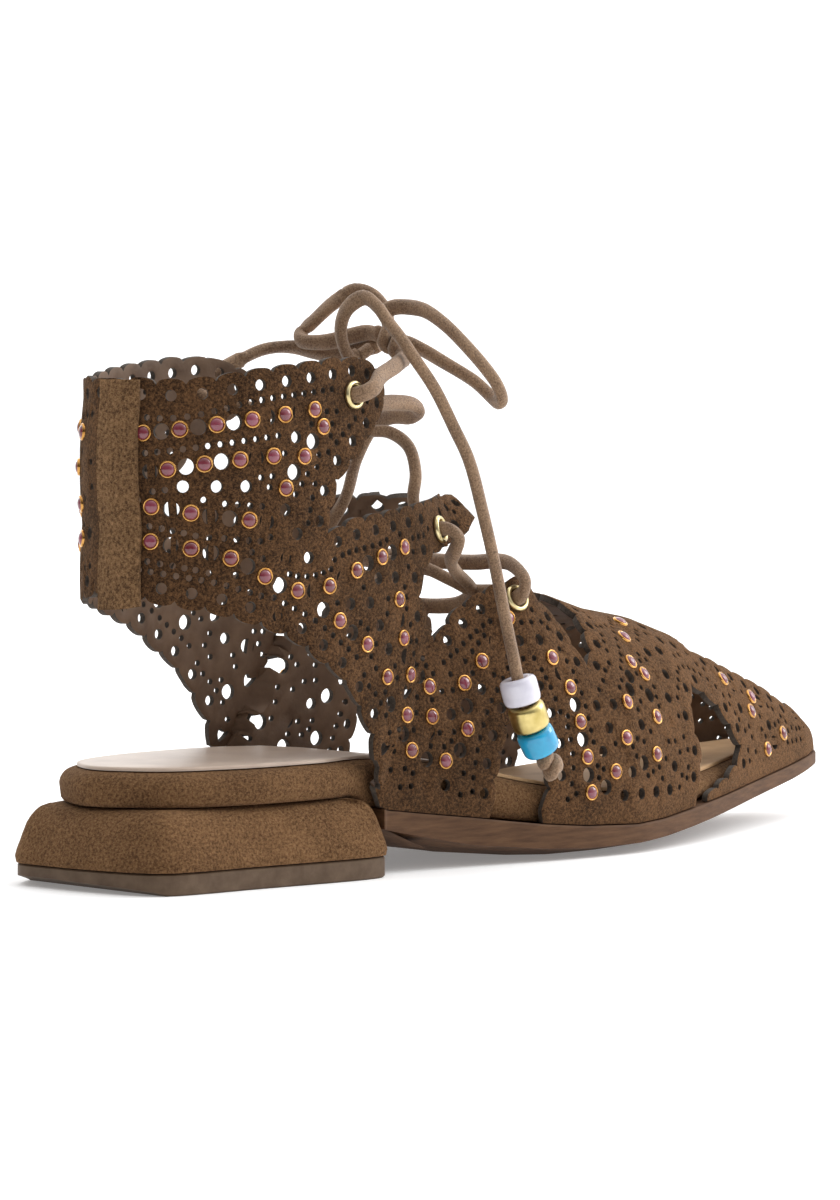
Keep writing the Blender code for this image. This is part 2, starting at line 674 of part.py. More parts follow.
def build_eyelets():
    barrel = EYELET_HOLE + EYELET_WALL
    profile = (
        (EYELET_HOLE, -UPPER_WALL - 0.2),
        (barrel, -UPPER_WALL - 0.2),
        (barrel, EYELET_SEAT),
        (EYELET_FLANGE, EYELET_SEAT),
        (EYELET_FLANGE - 0.4, EYELET_SEAT + EYELET_RIM),
        (EYELET_HOLE + 0.1, EYELET_SEAT + 0.4),
    )
    for label, x, z in EYELETS:
        s, angle = at_side(x, z)
        for side, word in ((-1, "outer"), (1, "inner")):
            here, normal, _, _ = skin_frame(s, angle, side)
            lathe(f"eyelet_{label}_{word}", here, normal, profile, BRASS, EYELET_SIDES)


def tube(name, path, radius, look, sides=8, group=None):
    """Round tube along a path with flat ends, as one closed mesh."""
    path = np.array(path, float)
    points, faces = [], []
    ahead = np.gradient(path, axis=0)
    ahead /= np.linalg.norm(ahead, axis=1)[:, None]
    first = np.cross(ahead[0], [0.13, 0.37, 0.92])
    for place, way in zip(path, ahead):
        first = first - way * np.dot(first, way)
        first /= np.linalg.norm(first)
        second = np.cross(way, first)
        for k in range(sides):
            turn = 2.0 * pi * k / sides
            points.append(place + radius * (cos(turn) * first + sin(turn) * second))
    for i in range(len(path) - 1):
        for k in range(sides):
            n = (k + 1) % sides
            faces.append((i * sides + k, i * sides + n, (i + 1) * sides + n, (i + 1) * sides + k))
    last = (len(path) - 1) * sides
    faces.append(tuple(range(sides))[::-1])
    faces.append(tuple(range(last, last + sides)))
    made = solid(name, points, faces, look)
    face_out(made)
    if group:
        SANDAL.objects.unlink(made)
        group.objects.link(made)
    return made


# Lace's runs between the eyelets, in mm: x, y, z of the points that it passes, from the knot to the front.
# The near run is tied at the outer top eyelet's side, and the far run at the inner one's.
NEAR_TO_TOP = ((89.8, -13.5, 122.6), (88.4, -16.0, 121.6), (84.6, -18.8, 121.0), (76.0, -25.0, 119.6),
               (67.4, -29.2, 117.4))
NEAR_BEHIND_TOP = ((81.8, -12.3, 110.9), (91.2, -10.3, 111.0), (97.6, -9.7, 110.5), (100.8, -8.6, 109.2),
                   (102.2, -4.4, 107.5), (101.9, 1.6, 107.4), (101.8, 7.4, 105.4), (99.0, 11.0, 97.0),
                   (96.0, 11.6, 88.0))
NEAR_TO_FRONT = ((99.2, 21.8, 75.6), (102.2, 17.4, 72.8), (106.5, 6.0, 71.4), (109.2, -2.9, 70.2),
                 (112.6, -7.4, 67.6), (116.5, -11.5, 64.8))
NEAR_OVER_FRONT = ((118.6, -22.6, 71.6), (119.4, -17.0, 72.2), (120.4, -9.0, 71.6), (120.6, 0.0, 71.4))
FAR_TO_TOP = ((92.9, -3.2, 124.8), (91.2, 3.2, 123.4), (90.0, 10.7, 122.3), (88.4, 15.1, 123.1),
              (86.2, 20.2, 124.3), (81.2, 24.8, 123.8), (74.4, 28.0, 120.6), (67.4, 30.0, 117.0))
FAR_BEHIND_TOP = ((75.0, 9.0, 107.4), (87.8, -4.1, 104.2), (91.6, -7.9, 103.8), (93.8, -12.2, 100.4),
                  (94.4, -14.0, 94.0), (94.2, -13.4, 88.0))
FAR_TO_FRONT = ((99.2, -22.6, 75.6), (102.0, -18.4, 72.8), (107.0, -15.2, 70.0), (116.5, -11.5, 64.8),
                (121.0, -2.0, 61.0), (119.6, 10.0, 60.4))
FAR_OVER_FRONT = ((118.6, 22.0, 71.6), (119.4, 16.4, 72.2), (120.4, 8.4, 71.6), (120.6, 0.0, 71.4))
PASS_LIFTS = (4.1, 3.0, 1.0, -1.6, -3.6, -4.9)
PASS_REACH = (3.2, 0.8, 0.0, 0.0, 0.8, 3.2)


def through(label, side, outside, inside_):
    """Points that a lace passes on its way in through an eyelet, from an outer place to an inner one."""
    row = next(row for row in EYELETS if row[0] == label)
    here, normal, _, _ = skin_frame(*at_side(row[1], row[2]), side)
    points = []
    for lift, reach in zip(PASS_LIFTS, PASS_REACH):
        towards = np.array(outside if lift > 0 else inside_, float) - here
        towards -= normal * np.dot(towards, normal)
        points.append(here + normal * lift + towards / np.linalg.norm(towards) * reach)
    return points


def lace_run(side, to_top, behind_top, to_front, over_front):
    """One half of the lace: in at the top eyelet, out at the middle one across, and out at the front one."""
    path = list(to_top)
    path += through("top", side, to_top[-1], behind_top[0])
    path += list(behind_top)
    path += through("middle", -side, to_front[0], behind_top[-1])[::-1]
    path += list(to_front)
    path += through("front", side, over_front[0], to_front[-1])[::-1]
    path += list(over_front)
    return catmull(path, 2, closed=False)


# Bow above the cuff's front, in mm: x, y, z of each path
KNOT = ((90.2, -12.6, 123.2), (90.0, -8.6, 126.0), (91.3, -5.2, 128.0))
KNOT_RADIUS = 3.0
LOOPS = {
    "lace_loop_front": (
        (90.2, -6.6, 132.4), (91.2, -9.6, 133.8), (92.4, -13.2, 133.9), (92.6, -19.0, 133.0),
        (93.3, -25.1, 129.6), (94.2, -30.7, 125.0), (95.5, -36.6, 119.1), (96.6, -39.2, 115.3),
        (98.4, -38.8, 112.6), (100.5, -35.6, 111.4), (101.5, -32.3, 112.6), (100.6, -27.8, 116.1),
        (97.3, -20.6, 120.7), (95.6, -14.8, 123.8), (94.4, -10.9, 125.9),
    ),
    "lace_loop_back": (
        (94.4, -4.4, 129.3), (97.3, -1.6, 131.6), (98.4, 0.6, 133.8), (96.5, 2.7, 137.0), (94.3, 6.4, 138.0),
        (91.4, 10.7, 135.3), (88.4, 15.1, 130.6), (87.0, 17.6, 127.6),
    ),
}
# Hanging end: x, y, z from the knot over the arch to the beads
LACE_END = (
    (88.6, -4.9, 124.4), (86.4, -3.0, 122.4), (83.6, -2.4, 122.0), (80.9, -2.9, 125.0), (78.5, -4.7, 129.6),
    (78.3, -7.3, 133.7), (79.6, -11.5, 136.1), (80.4, -15.2, 133.9), (81.4, -17.8, 130.3),
    (82.0, -21.9, 126.0), (83.4, -24.6, 121.7), (87.2, -27.6, 114.5), (91.0, -30.1, 105.5),
    (93.8, -32.5, 97.6), (96.7, -34.2, 85.4), (98.4, -36.4, 73.5), (99.4, -39.0, 60.5), (100.3, -41.8, 48.6),
)
# Beads on the hanging end: name, x, y, z of the middle
BEADS = (
    ("bead_white", 101.5, -43.0, 42.7),
    ("bead_gold", 104.5, -43.6, 36.5),
    ("bead_blue", 108.3, -44.0, 30.6),
)
BEAD_RADIUS = 4.6
BEAD_LENGTH = 5.8
BEAD_HOLE = 2.6
BEAD_SIDES = 12
END_KNOT = ((110.6, -44.2, 26.9), (111.6, -44.4, 24.6), (112.8, -44.5, 22.4))


def build_lace():
    radius = 0.95 * LACE_RADIUS
    near = lace_run(-1, NEAR_TO_TOP, NEAR_BEHIND_TOP, NEAR_TO_FRONT, NEAR_OVER_FRONT)
    far = lace_run(1, FAR_TO_TOP, FAR_BEHIND_TOP, FAR_TO_FRONT, FAR_OVER_FRONT)
    first = tube("lace_bars", near, radius, LACE)
    second = tube("lace_far_run", far, 0.98 * radius, LACE, group=CUTTERS)
    second.display_type = "WIRE"
    second.hide_render = True
    union = first.modifiers.new("join", "BOOLEAN")
    union.operation = "UNION"
    union.solver = "EXACT"
    union.object = second

    tube("lace_knot", catmull(KNOT, 2, closed=False), KNOT_RADIUS, LACE)
    for name, path in LOOPS.items():
        tube(name, catmull(path, 2, closed=False), radius, LACE)
    through_beads = [place for _, *place in BEADS] + [np.array(END_KNOT[0]) + [-0.5, 0.1, 1.2]]
    tube("lace_end", catmull(list(LACE_END) + through_beads, 2, closed=False), radius, LACE)
    half = 0.5 * BEAD_LENGTH
    profile = (
        (BEAD_HOLE, -half), (BEAD_RADIUS - 0.8, -half), (BEAD_RADIUS, -half + 1.2),
        (BEAD_RADIUS, half - 1.2), (BEAD_RADIUS - 0.8, half), (BEAD_HOLE, half),
    )
    ways = np.gradient(np.array([LACE_END[-1]] + through_beads, float), axis=0)[1:]
    for (name, *place), way, look in zip(BEADS, ways, (WHITE, GOLD, BLUE)):
        lathe(name, np.array(place), way, profile, look, BEAD_SIDES)
    tube("end_knot", catmull(END_KNOT, 2, closed=False), 3.0, LACE)


for stale in list(bpy.data.objects):
    bpy.data.objects.remove(stale)

SANDAL = collection("suede_ghillie_sandal")
CUTTERS = collection("cutters", hidden=True)
SUEDE = material("suede", (0.195, 0.093, 0.040), 0.92)
HEEL_SUEDE = material("heel_suede", (0.255, 0.133, 0.055), 0.92)
FOOTBED_SUEDE = material("footbed_suede", (0.262, 0.138, 0.060), 0.92)
SOCK = material("sock_leather", (0.62, 0.50, 0.40), 0.45)
RUBBER = material("top_piece_rubber", (0.155, 0.112, 0.077), 0.6)
LEATHER = material("outsole_leather", (0.195, 0.102, 0.055), 0.5)
BRASS = material("eyelet_brass", (0.69, 0.58, 0.30), 0.3, 1.0)
LACE = material("lace_suede", (0.300, 0.180, 0.097), 0.85)
WHITE = material("white_bead", (0.72, 0.70, 0.80), 0.25)
GOLD = material("gold_bead", (0.62, 0.46, 0.16), 0.3, 1.0)
BLUE = material("blue_bead", (0.014, 0.35, 0.62), 0.25)

build_sole()
build_upper()
build_strip()
build_eyelets()
build_lace()
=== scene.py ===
import bpy
import numpy as np
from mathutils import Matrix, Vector
from mathutils.geometry import delaunay_2d_cdt


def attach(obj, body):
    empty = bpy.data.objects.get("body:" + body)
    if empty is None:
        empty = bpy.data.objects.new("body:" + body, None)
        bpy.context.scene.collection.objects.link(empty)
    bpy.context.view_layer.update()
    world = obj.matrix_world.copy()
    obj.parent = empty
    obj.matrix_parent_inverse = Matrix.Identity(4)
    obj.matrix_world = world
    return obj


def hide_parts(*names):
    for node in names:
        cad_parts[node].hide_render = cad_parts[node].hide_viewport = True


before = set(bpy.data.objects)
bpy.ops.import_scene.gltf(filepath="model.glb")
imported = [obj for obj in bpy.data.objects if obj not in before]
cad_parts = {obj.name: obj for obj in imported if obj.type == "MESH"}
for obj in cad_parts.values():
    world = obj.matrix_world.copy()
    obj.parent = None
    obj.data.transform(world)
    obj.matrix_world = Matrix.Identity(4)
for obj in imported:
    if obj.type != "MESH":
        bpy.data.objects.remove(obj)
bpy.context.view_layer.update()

# Studio: the sandal stands on a pale sheet of paper under soft light, seen from behind its outer side
# through a long lens. Sizes are in metres in this section and in millimetres in every later one.
CAMERA_PLACE = (-0.7529, -0.8308, 0.126)
CAMERA_TURN = (86.9, 0.0, -45.0)
CAMERA_LENS = 144.0
FLOOR_SIZE = 8.0
FLOOR_COLOUR = (0.90, 0.90, 0.90, 1.0)
FLOOR_GLOW = 0.2
LIGHTS_AIM = (0.1, 0.0, 0.05)
# Soft lights: place, size and power in watts
SOFT_LIGHTS = {
    "overhead": ((0.5, -0.2, 1.5), 1.2, 4.0),
    "left_front": ((-1.5, -0.9, 0.9), 1.0, 0.4),
    "right_front": ((1.4, -0.7, 0.9), 1.0, 14.0),
    "behind": ((0.9, 1.3, 1.0), 1.4, 6.0),
}

view = bpy.data.cameras.new("camera")
view.lens = CAMERA_LENS
view.clip_start = 0.01
camera = bpy.data.objects.new("camera", view)
camera.location = CAMERA_PLACE
camera.rotation_euler = np.radians(CAMERA_TURN)
bpy.context.scene.collection.objects.link(camera)
bpy.context.scene.camera = camera

for light_name, (place, size, power) in SOFT_LIGHTS.items():
    lamp = bpy.data.lights.new(light_name, "AREA")
    lamp.size = size
    lamp.energy = power
    lit = bpy.data.objects.new(light_name, lamp)
    lit.location = place
    lit.rotation_euler = (Vector(LIGHTS_AIM) - Vector(place)).to_track_quat("-Z", "Y").to_euler()
    bpy.context.scene.collection.objects.link(lit)

# Bright walls past the toe, behind the sandal and above it, and a dim room behind the camera. The range
# is how far a wall lies on the bright way, from and to, and then its strength there, from and to.
BRIGHT_WAY = (0.8, 0.33, 0.73)
BRIGHT_RANGE = (-0.5, 0.5, 0.07, 1.35)
world = bpy.data.worlds.new("studio")
world.use_nodes = True
sky = world.node_tree.nodes
sky["Background"].inputs["Color"].default_value = (1.0, 1.0, 1.0, 1.0)
sky_way = sky.new("ShaderNodeTexCoord")
sky_facing = sky.new("ShaderNodeVectorMath")
sky_facing.operation = "DOT_PRODUCT"
sky_facing.inputs[1].default_value = BRIGHT_WAY
sky_strength = sky.new("ShaderNodeMapRange")
for socket, value in enumerate(BRIGHT_RANGE, 1):
    sky_strength.inputs[socket].default_value = value
world.node_tree.links.new(sky_way.outputs["Generated"], sky_facing.inputs[0])
world.node_tree.links.new(sky_facing.outputs["Value"], sky_strength.inputs[0])
world.node_tree.links.new(sky_strength.outputs[0], sky["Background"].inputs["Strength"])
bpy.context.scene.world = world
bpy.context.scene.view_settings.view_transform = "Standard"

paper = bpy.data.materials.new("paper")
paper.use_nodes = True
paper_shader = paper.node_tree.nodes["Principled BSDF"].inputs
paper_shader["Base Color"].default_value = FLOOR_COLOUR
paper_shader["Roughness"].default_value = 0.9
paper_shader["Emission Color"].default_value = (1.0, 1.0, 1.0, 1.0)
paper_shader["Emission Strength"].default_value = FLOOR_GLOW
half_floor = FLOOR_SIZE / 2
floor_mesh = bpy.data.meshes.new("floor")
floor_corners = [(x * half_floor, y * half_floor, 0.0) for x, y in ((-1, -1), (1, -1), (1, 1), (-1, 1))]
floor_mesh.from_pydata(floor_corners, [], [(0, 1, 2, 3)])
floor_mesh.materials.append(paper)
floor = bpy.data.objects.new("floor", floor_mesh)
bpy.context.scene.collection.objects.link(floor)


# Top piece: a slab of hard brown rubber that the heel stands on, with its rear edge bevelled off the
# floor, cemented under the heel block.
HEEL_CENTRE = 32.0
# Heel's foot on the floor: x, y from the far rear corner round the outer side
HEEL_OUTLINE = (
    (-5.0, 17.0), (-5.4, 8.0), (-4.0, -6.0), (-0.4, -20.0), (4.0, -25.6), (30.0, -29.6), (62.0, -33.2),
    (67.0, -31.8), (68.4, -27.0), (68.4, 24.0), (67.0, 28.8), (62.0, 30.0), (30.0, 27.4), (3.0, 23.6),
)
TOP_PIECE_HEIGHT = 5.0
# Insets of its foot and its edge, heights of the edge's two lower bands, and its rounded upper corner
TOP_PIECE_FOOT = 1.0
TOP_PIECE_EDGE = 0.4
TOP_PIECE_BANDS = (0.5, 3.0)
TOP_PIECE_ROUND = 0.3
# Bevel at the rear: from and to in x, and how far it lifts the edge
HEEL_BACK = -5.0
HEEL_BEVEL = 4.0
BEVEL_RISE = 2.2
# Middle line of the sole, which an inset never crosses: x, then y
MIDDLE_LINE = ((120.0, 200.0, 262.0), (0.0, 3.0, 3.0))
LEAST_SLOPE = 0.35
CAP_STEP = 5.0


class Shade:
    """One output of a shader node. Arithmetic on it adds Math nodes to its finish."""

    def __init__(self, finish, socket):
        self.finish = finish
        self.socket = socket

    def math(self, operation, *values):
        return self.finish.node("ShaderNodeMath", {"operation": operation}, dict(enumerate(values)))

    def __add__(self, other):
        return self.math("ADD", self, other)

    def __radd__(self, other):
        return self.math("ADD", other, self)

    def __sub__(self, other):
        return self.math("SUBTRACT", self, other)

    def __rsub__(self, other):
        return self.math("SUBTRACT", other, self)

    def __mul__(self, other):
        return self.math("MULTIPLY", self, other)

    def __rmul__(self, other):
        return self.math("MULTIPLY", other, self)


class Finish:
    """A material: its Principled shader, with nodes added one at a time."""

    def __init__(self, name, **fixed):
        self.material = bpy.data.materials.new(name)
        self.material.use_nodes = True
        self.tree = self.material.node_tree
        self.shader = self.tree.nodes["Principled BSDF"]
        for key, value in fixed.items():
            self.shader.inputs[key.replace("_", " ")].default_value = value

    def node(self, kind, settings, sockets, output=0):
        """One node of a type: its settings first, then the values or links of its sockets."""
        made = self.tree.nodes.new(kind)
        for key, value in settings.items():
            setattr(made, key, value)
        for key, value in sockets.items():
            if isinstance(value, Shade):
                self.tree.links.new(value.socket, made.inputs[key])
            else:
                made.inputs[key].default_value = value
        return Shade(self, made.outputs[output])

    def millimetres(self, stretch=(1.0, 1.0, 1.0)):
        """Place on the sandal in millimetres, with each way stretched by its own factor."""
        place = self.node("ShaderNodeTexCoord", {}, {}, "Object")
        scale = tuple(1000.0 * v for v in stretch)
        return self.node("ShaderNodeMapping", {}, {"Vector": place, "Scale": scale})

    def noise(self, place, scale, detail=2.0, roughness=0.5):
        values = {"Vector": place, "Scale": scale, "Detail": detail, "Roughness": roughness}
        return self.node("ShaderNodeTexNoise", {}, values)

    def mix(self, share, first, second):
        return self.node("ShaderNodeMix", {"data_type": "RGBA"}, {0: share, 6: first, 7: second}, 2)

    def spread(self, value, low, high):
        """The value mapped so that low gives 0 and high gives 1, and held there."""
        return self.node("ShaderNodeMapRange", {"clamp": True}, {0: value, 1: low, 2: high})

    def bump(self, height, millimetres, strength=1.0):
        values = {"Height": height, "Strength": strength, "Distance": millimetres / 1000.0}
        return self.node("ShaderNodeBump", {}, values)

    def feed(self, socket, value):
        self.tree.links.new(value.socket, self.shader.inputs[socket])

    def tinted(self, tone, low, high, dark, light):
        """Base colour from dark to light, as a tone goes from low to high."""
        self.feed("Base Color", self.mix(self.spread(tone, low, high), dark, light))


def in_metres(points):
    """Places measured from the heel's back edge in millimetres, as metres from the heel's centre."""
    return (np.asarray(points, float) - [HEEL_CENTRE, 0.0, 0.0]) / 1000.0


def piece(name, points, faces, finishes, face_finish=None, smooth_to=40.0):
    """An object from points in millimetres and faces given as index rows, riding on the sandal's body."""
    mesh = bpy.data.meshes.new(name)
    mesh.from_pydata(in_metres(points).tolist(), [], [tuple(f) for f in faces])
    for finish in finishes:
        mesh.materials.append(finish.material)
    if face_finish is not None:
        mesh.polygons.foreach_set("material_index", np.asarray(face_finish, np.int32))
    mesh.polygons.foreach_set("use_smooth", np.ones(len(mesh.polygons), bool))
    mesh.set_sharp_from_angle(angle=np.radians(smooth_to))
    made = bpy.data.objects.new(name, mesh)
    bpy.context.scene.collection.objects.link(made)
    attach(made, "root")
    return made


def spline(points, steps, closed=False):
    """Centripetal spline: each span is mixed from its four nearest points, by the root of their spacing."""
    points = np.asarray(points, float)
    if closed:
        four = [np.roll(points, shift, axis=0) for shift in (1, 0, -1, -2)]
    else:
        ends = np.vstack([2 * points[0] - points[1], points, 2 * points[-1] - points[-2]])
        four = [ends[k:len(ends) - 3 + k] for k in range(4)]
    knots = [np.zeros(len(four[0]))]
    for a, b in zip(four[:-1], four[1:]):
        knots.append(knots[-1] + np.maximum(np.linalg.norm(b - a, axis=1), 1e-6) ** 0.5)
    share = np.arange(steps) / steps
    t = knots[1][:, None] + (knots[2] - knots[1])[:, None] * share

    def mixed(a, b, low, high):
        weight = ((t - low[:, None]) / (high - low)[:, None])[..., None]
        return a * (1.0 - weight) + b * weight

    one = [mixed(a[:, None], b[:, None], lo, hi) for a, b, lo, hi in
           zip(four[:-1], four[1:], knots[:-1], knots[1:])]
    two = [mixed(one[0], one[1], knots[0], knots[2]), mixed(one[1], one[2], knots[1], knots[3])]
    out = mixed(two[0], two[1], knots[1], knots[2]).reshape(-1, points.shape[1])
    return out if closed else np.vstack([out, points[-1]])


def grid_faces(rows, columns, wrap):
    """Quads of a grid whose columns join up where wrap is true."""
    i, j = np.meshgrid(np.arange(rows - 1), np.arange(columns if wrap else columns - 1), indexing="ij")
    k = (j + 1) % columns
    quads = np.stack([i * columns + j, i * columns + k, (i + 1) * columns + k, (i + 1) * columns + j], -1)
    return quads.reshape(-1, 4)


def inset(outline, amount):
    """Outline moved inwards: its length shrinks by the amount, and its width makes up the rest."""
    x, y = outline[:, 0], outline[:, 1]
    turn = np.sign(np.sum(x * np.roll(y, -1) - np.roll(x, -1) * y))
    ahead = np.roll(outline, -1, axis=0) - np.roll(outline, 1, axis=0)
    ahead /= np.linalg.norm(ahead, axis=1)[:, None]
    across_x, across_y = -turn * ahead[:, 1], turn * ahead[:, 0]
    half = 0.5 * (x.max() - x.min())
    shift = -amount * (x - x.min() - half) / half
    steep = np.maximum(np.abs(across_y), LEAST_SLOPE)
    rest = (amount - shift * across_x) * np.sign(across_y) / steep
    rest = rest * np.clip(np.abs(across_y) / LEAST_SLOPE, 0, 1)
    room = 0.9 * np.abs(y - np.interp(x, *MIDDLE_LINE))
    return np.column_stack([x + shift, y + np.clip(rest, -room, room)])


def is_inside(points, loop):
    """Ray test for many points at once: a point is inside where an odd number of edges lie to its right."""
    x, y = points[:, 0][:, None], points[:, 1][:, None]
    xa, ya = loop[:, 0], loop[:, 1]
    xb, yb = np.roll(xa, -1), np.roll(ya, -1)
    span = np.where(yb == ya, 1e-12, yb - ya)
    crosses = ((ya > y) != (yb > y)) & (x < xa + (y - ya) * (xb - xa) / span)
    return crosses.sum(1) % 2 == 1


def cap(loop, height):
    """Points inside a loop and triangles over them, with heights from a function of x and y."""
    low, high = loop.min(0), loop.max(0)
    across = np.arange(low[0], high[0], CAP_STEP)
    up = np.arange(low[1], high[1], CAP_STEP)
    grid = np.stack(np.meshgrid(across, up, indexing="ij"), -1).reshape(-1, 2)
    near = np.min(np.linalg.norm(grid[:, None] - loop[None], axis=2), axis=1)
    grid = grid[is_inside(grid, loop) & (near > 0.5 * CAP_STEP)]
    flat = [Vector(p) for p in np.vstack([loop, grid]).tolist()]
    ring = [(i, (i + 1) % len(loop)) for i in range(len(loop))]
    found = delaunay_2d_cdt(flat, ring, [], 1, 1e-7)
    faces = np.array([[found[3][k][0] for k in face] for face in found[2]])
    a, b, c = (np.vstack([loop, grid])[faces[:, k]] for k in range(3))
    area = (b[:, 0] - a[:, 0]) * (c[:, 1] - a[:, 1]) - (c[:, 0] - a[:, 0]) * (b[:, 1] - a[:, 1])
    faces[area < 0] = faces[area < 0][:, ::-1]
    return np.column_stack([grid, height(grid[:, 0], grid[:, 1])]), faces


def slab(rings, lower, upper):
    """Closed slab: rings of equal count from the lowest up, and a cap with its own heights on each end."""
    count = len(rings[0])
    points = np.vstack(rings)
    x, y = rings[0][:, 0], rings[0][:, 1]
    clockwise = np.sum(x * np.roll(y, -1) - np.roll(x, -1) * y) < 0
    quads = grid_faces(len(rings), count, True)
    faces = (quads[:, ::-1] if clockwise else quads).tolist()
    last = len(points) - count
    for loop, first, height, way in ((rings[0], 0, lower, -1), (rings[-1], last, upper, 1)):
        grid, triangles = cap(loop[:, :2], height)
        numbers = np.concatenate([first + np.arange(count), len(points) + np.arange(len(grid))])
        faces += numbers[triangles[:, ::way]].tolist()
        points = np.vstack([points, grid])
    return points, faces


def with_heights(outline, heights):
    """Outline as places in space, at one height or at a height for each of its points."""
    return np.column_stack([outline, np.broadcast_to(heights, len(outline))])


rubber = Finish("top_piece_rubber", Roughness=0.6, Specular_IOR_Level=0.25)
rubber_place = rubber.millimetres()
rubber_mottle = rubber.noise(rubber_place, 0.25, 4.0, 0.6)
rubber.tinted(rubber_mottle, 0.3, 0.7, (0.090, 0.056, 0.034, 1.0), (0.140, 0.092, 0.058, 1.0))
rubber.feed("Normal", rubber.bump(rubber.noise(rubber_place, 2.2, 2.0), 0.06, 0.4))

heel_outline = spline(HEEL_OUTLINE, 10, closed=True)


def lifted(loop, height):
    """Heights of a ring of the top piece, whose rear lower edge is bevelled off the floor."""
    bevel = np.interp(loop[:, 0], [HEEL_BACK, HEEL_BEVEL], [BEVEL_RISE, 0.0])
    return bevel * (1.0 - height / TOP_PIECE_HEIGHT) + height


foot = inset(heel_outline, TOP_PIECE_FOOT)
foot[:, 0] = np.maximum(foot[:, 0], HEEL_BEVEL)
edge = inset(heel_outline, TOP_PIECE_EDGE)
top_rings = [with_heights(foot, 0.0)]
top_rings += [with_heights(edge, lifted(edge, height)) for height in TOP_PIECE_BANDS]
top_rings += [with_heights(edge, TOP_PIECE_HEIGHT - TOP_PIECE_ROUND),
              with_heights(inset(heel_outline, TOP_PIECE_EDGE + TOP_PIECE_ROUND), TOP_PIECE_HEIGHT)]
top_points, top_faces = slab(top_rings, lambda x, y: 0 * x, lambda x, y: 0 * x + TOP_PIECE_HEIGHT)
made = piece("top_piece_moulded", top_points, top_faces, [rubber])
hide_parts("heel_top_piece")


# Heel block: a low, flared block with a rounded shoulder, wrapped in brushed suede and cemented between
# the top piece and the footbed.
GAP = 0.3
# Side: inset from the heel's outline and height above the block's foot
BLOCK_SIDE = ((0.1, 0.0), (-0.2, 1.4), (0.2, 3.0), (0.9, 4.8), (1.7, 7.0), (2.6, 9.2), (3.5, 10.6),
              (4.6, 11.8), (5.6, 12.6), (6.6, 13.0), (9.0, 13.5))


def suede(name, dark, light, coarse, nap=1.0, painted_light_share=0.0, **fixed):
    """Brushed suede: mottled patches, a short nap of specks, darker pits, and painted light that makes it
    paler towards the toe.
    """
    made = Finish(name, Roughness=0.95, Specular_IOR_Level=0.12, Sheen_Weight=0.1, Sheen_Roughness=0.6,
                  Sheen_Tint=(0.75, 0.5, 0.3, 1.0), **fixed)
    place = made.millimetres()
    specks = made.noise(place, coarse, 3.0, 0.7)
    fibres = made.noise(made.millimetres((1.0, 1.0, 2.2)), coarse * 1.9, 2.0, 0.65)
    patches = made.noise(place, 0.09, 3.0, 0.55)
    from_heel = made.node("ShaderNodeSeparateXYZ", {}, {"Vector": place}, "X")
    # Painted light: the suede is lightened towards the toe, where the light falls brighter, by the given
    # share.
    painted_toe_light = (made.spread(from_heel, 45.0, 180.0) - 0.55) * painted_light_share
    share = made.spread(specks * 0.9 + fibres * 0.5 + patches * 0.25 + painted_toe_light, 0.66, 1.02)
    made.feed("Base Color", made.mix(share, dark, light))
    made.feed("Normal", made.bump(specks + fibres * 0.7, 0.42 * nap, 0.85))
    return made


heel_suede = suede("heel_suede", (0.066, 0.031, 0.013, 1.0), (0.270, 0.145, 0.066, 1.0), 1.5, 1.1)
block_foot = TOP_PIECE_HEIGHT + GAP
block_top = block_foot + BLOCK_SIDE[-1][1]
block_rings = [with_heights(inset(heel_outline, d), block_foot + h) for d, h in BLOCK_SIDE]
block_points, block_faces = slab(block_rings, lambda x, y: 0 * x + block_foot, lambda x, y: 0 * x + block_top)
made = piece("heel_block_wrapped", block_points, block_faces, [heel_suede], smooth_to=60.0)
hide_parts("heel_block")


# Outsole: one thin piece of brown leather from the heel's breast to the toe, bent up at the arch and the
# toe, with a slightly crowned underside. It is cut to the upper's edge and cemented on.
# Sole, x, outer edge y, inner edge y, outsole's under edge z, its upper edge z, footbed's top z
SOLE = np.array((
    (0.0, 0.0, 0.0, 13.0, 18.8, 27.0),
    (4.0, -11.0, 12.0, 13.0, 18.8, 27.0),
    (11.0, -19.0, 19.0, 13.0, 18.8, 27.0),
    (30.0, -26.0, 25.0, 13.0, 18.8, 27.0),
    (62.5, -28.3, 24.9, 12.5, 18.8, 27.0),
    (70.5, -28.6, 24.4, 10.0, 15.2, 26.8),
    (84.0, -29.6, 23.0, 7.2, 13.4, 25.6),
    (97.0, -31.5, 22.0, 4.7, 11.8, 23.4),
    (118.0, -35.5, 25.0, 2.6, 9.0, 18.6),
    (130.0, -37.4, 28.2, 2.0, 7.9, 16.4),
    (148.0, -38.3, 32.4, 2.0, 7.1, 14.4),
    (160.0, -36.5, 34.5, 2.7, 7.6, 14.0),
    (178.0, -32.0, 35.5, 4.4, 9.2, 15.0),
    (196.0, -25.7, 31.5, 6.0, 10.5, 16.2),
    (216.0, -18.2, 24.0, 7.9, 12.2, 17.8),
    (238.0, -10.6, 16.2, 10.2, 14.3, 19.5),
    (251.0, -5.2, 11.6, 11.8, 15.5, 20.4),
    (259.0, -0.6, 7.4, 12.8, 16.2, 21.0),
    (262.0, 3.4, 3.4, 13.2, 16.6, 21.4),
))
OUTSOLE_START = 69.4
OUTSOLE_CROWN = 2.0
CROWN_INSET = 14.0
CROWN_MIDDLE = 0.7
# Where the crown runs out towards the tip, x from and to
CROWN_TIP = (240.0, 250.0)
OUTSOLE_BEVEL = 0.6
OUTSOLE_ROUND = 0.4


def along_sole(x, column):
    """One column of the sole's table at any place along it, straight between its rows."""
    return np.interp(x, SOLE[:, 0], SOLE[:, column])


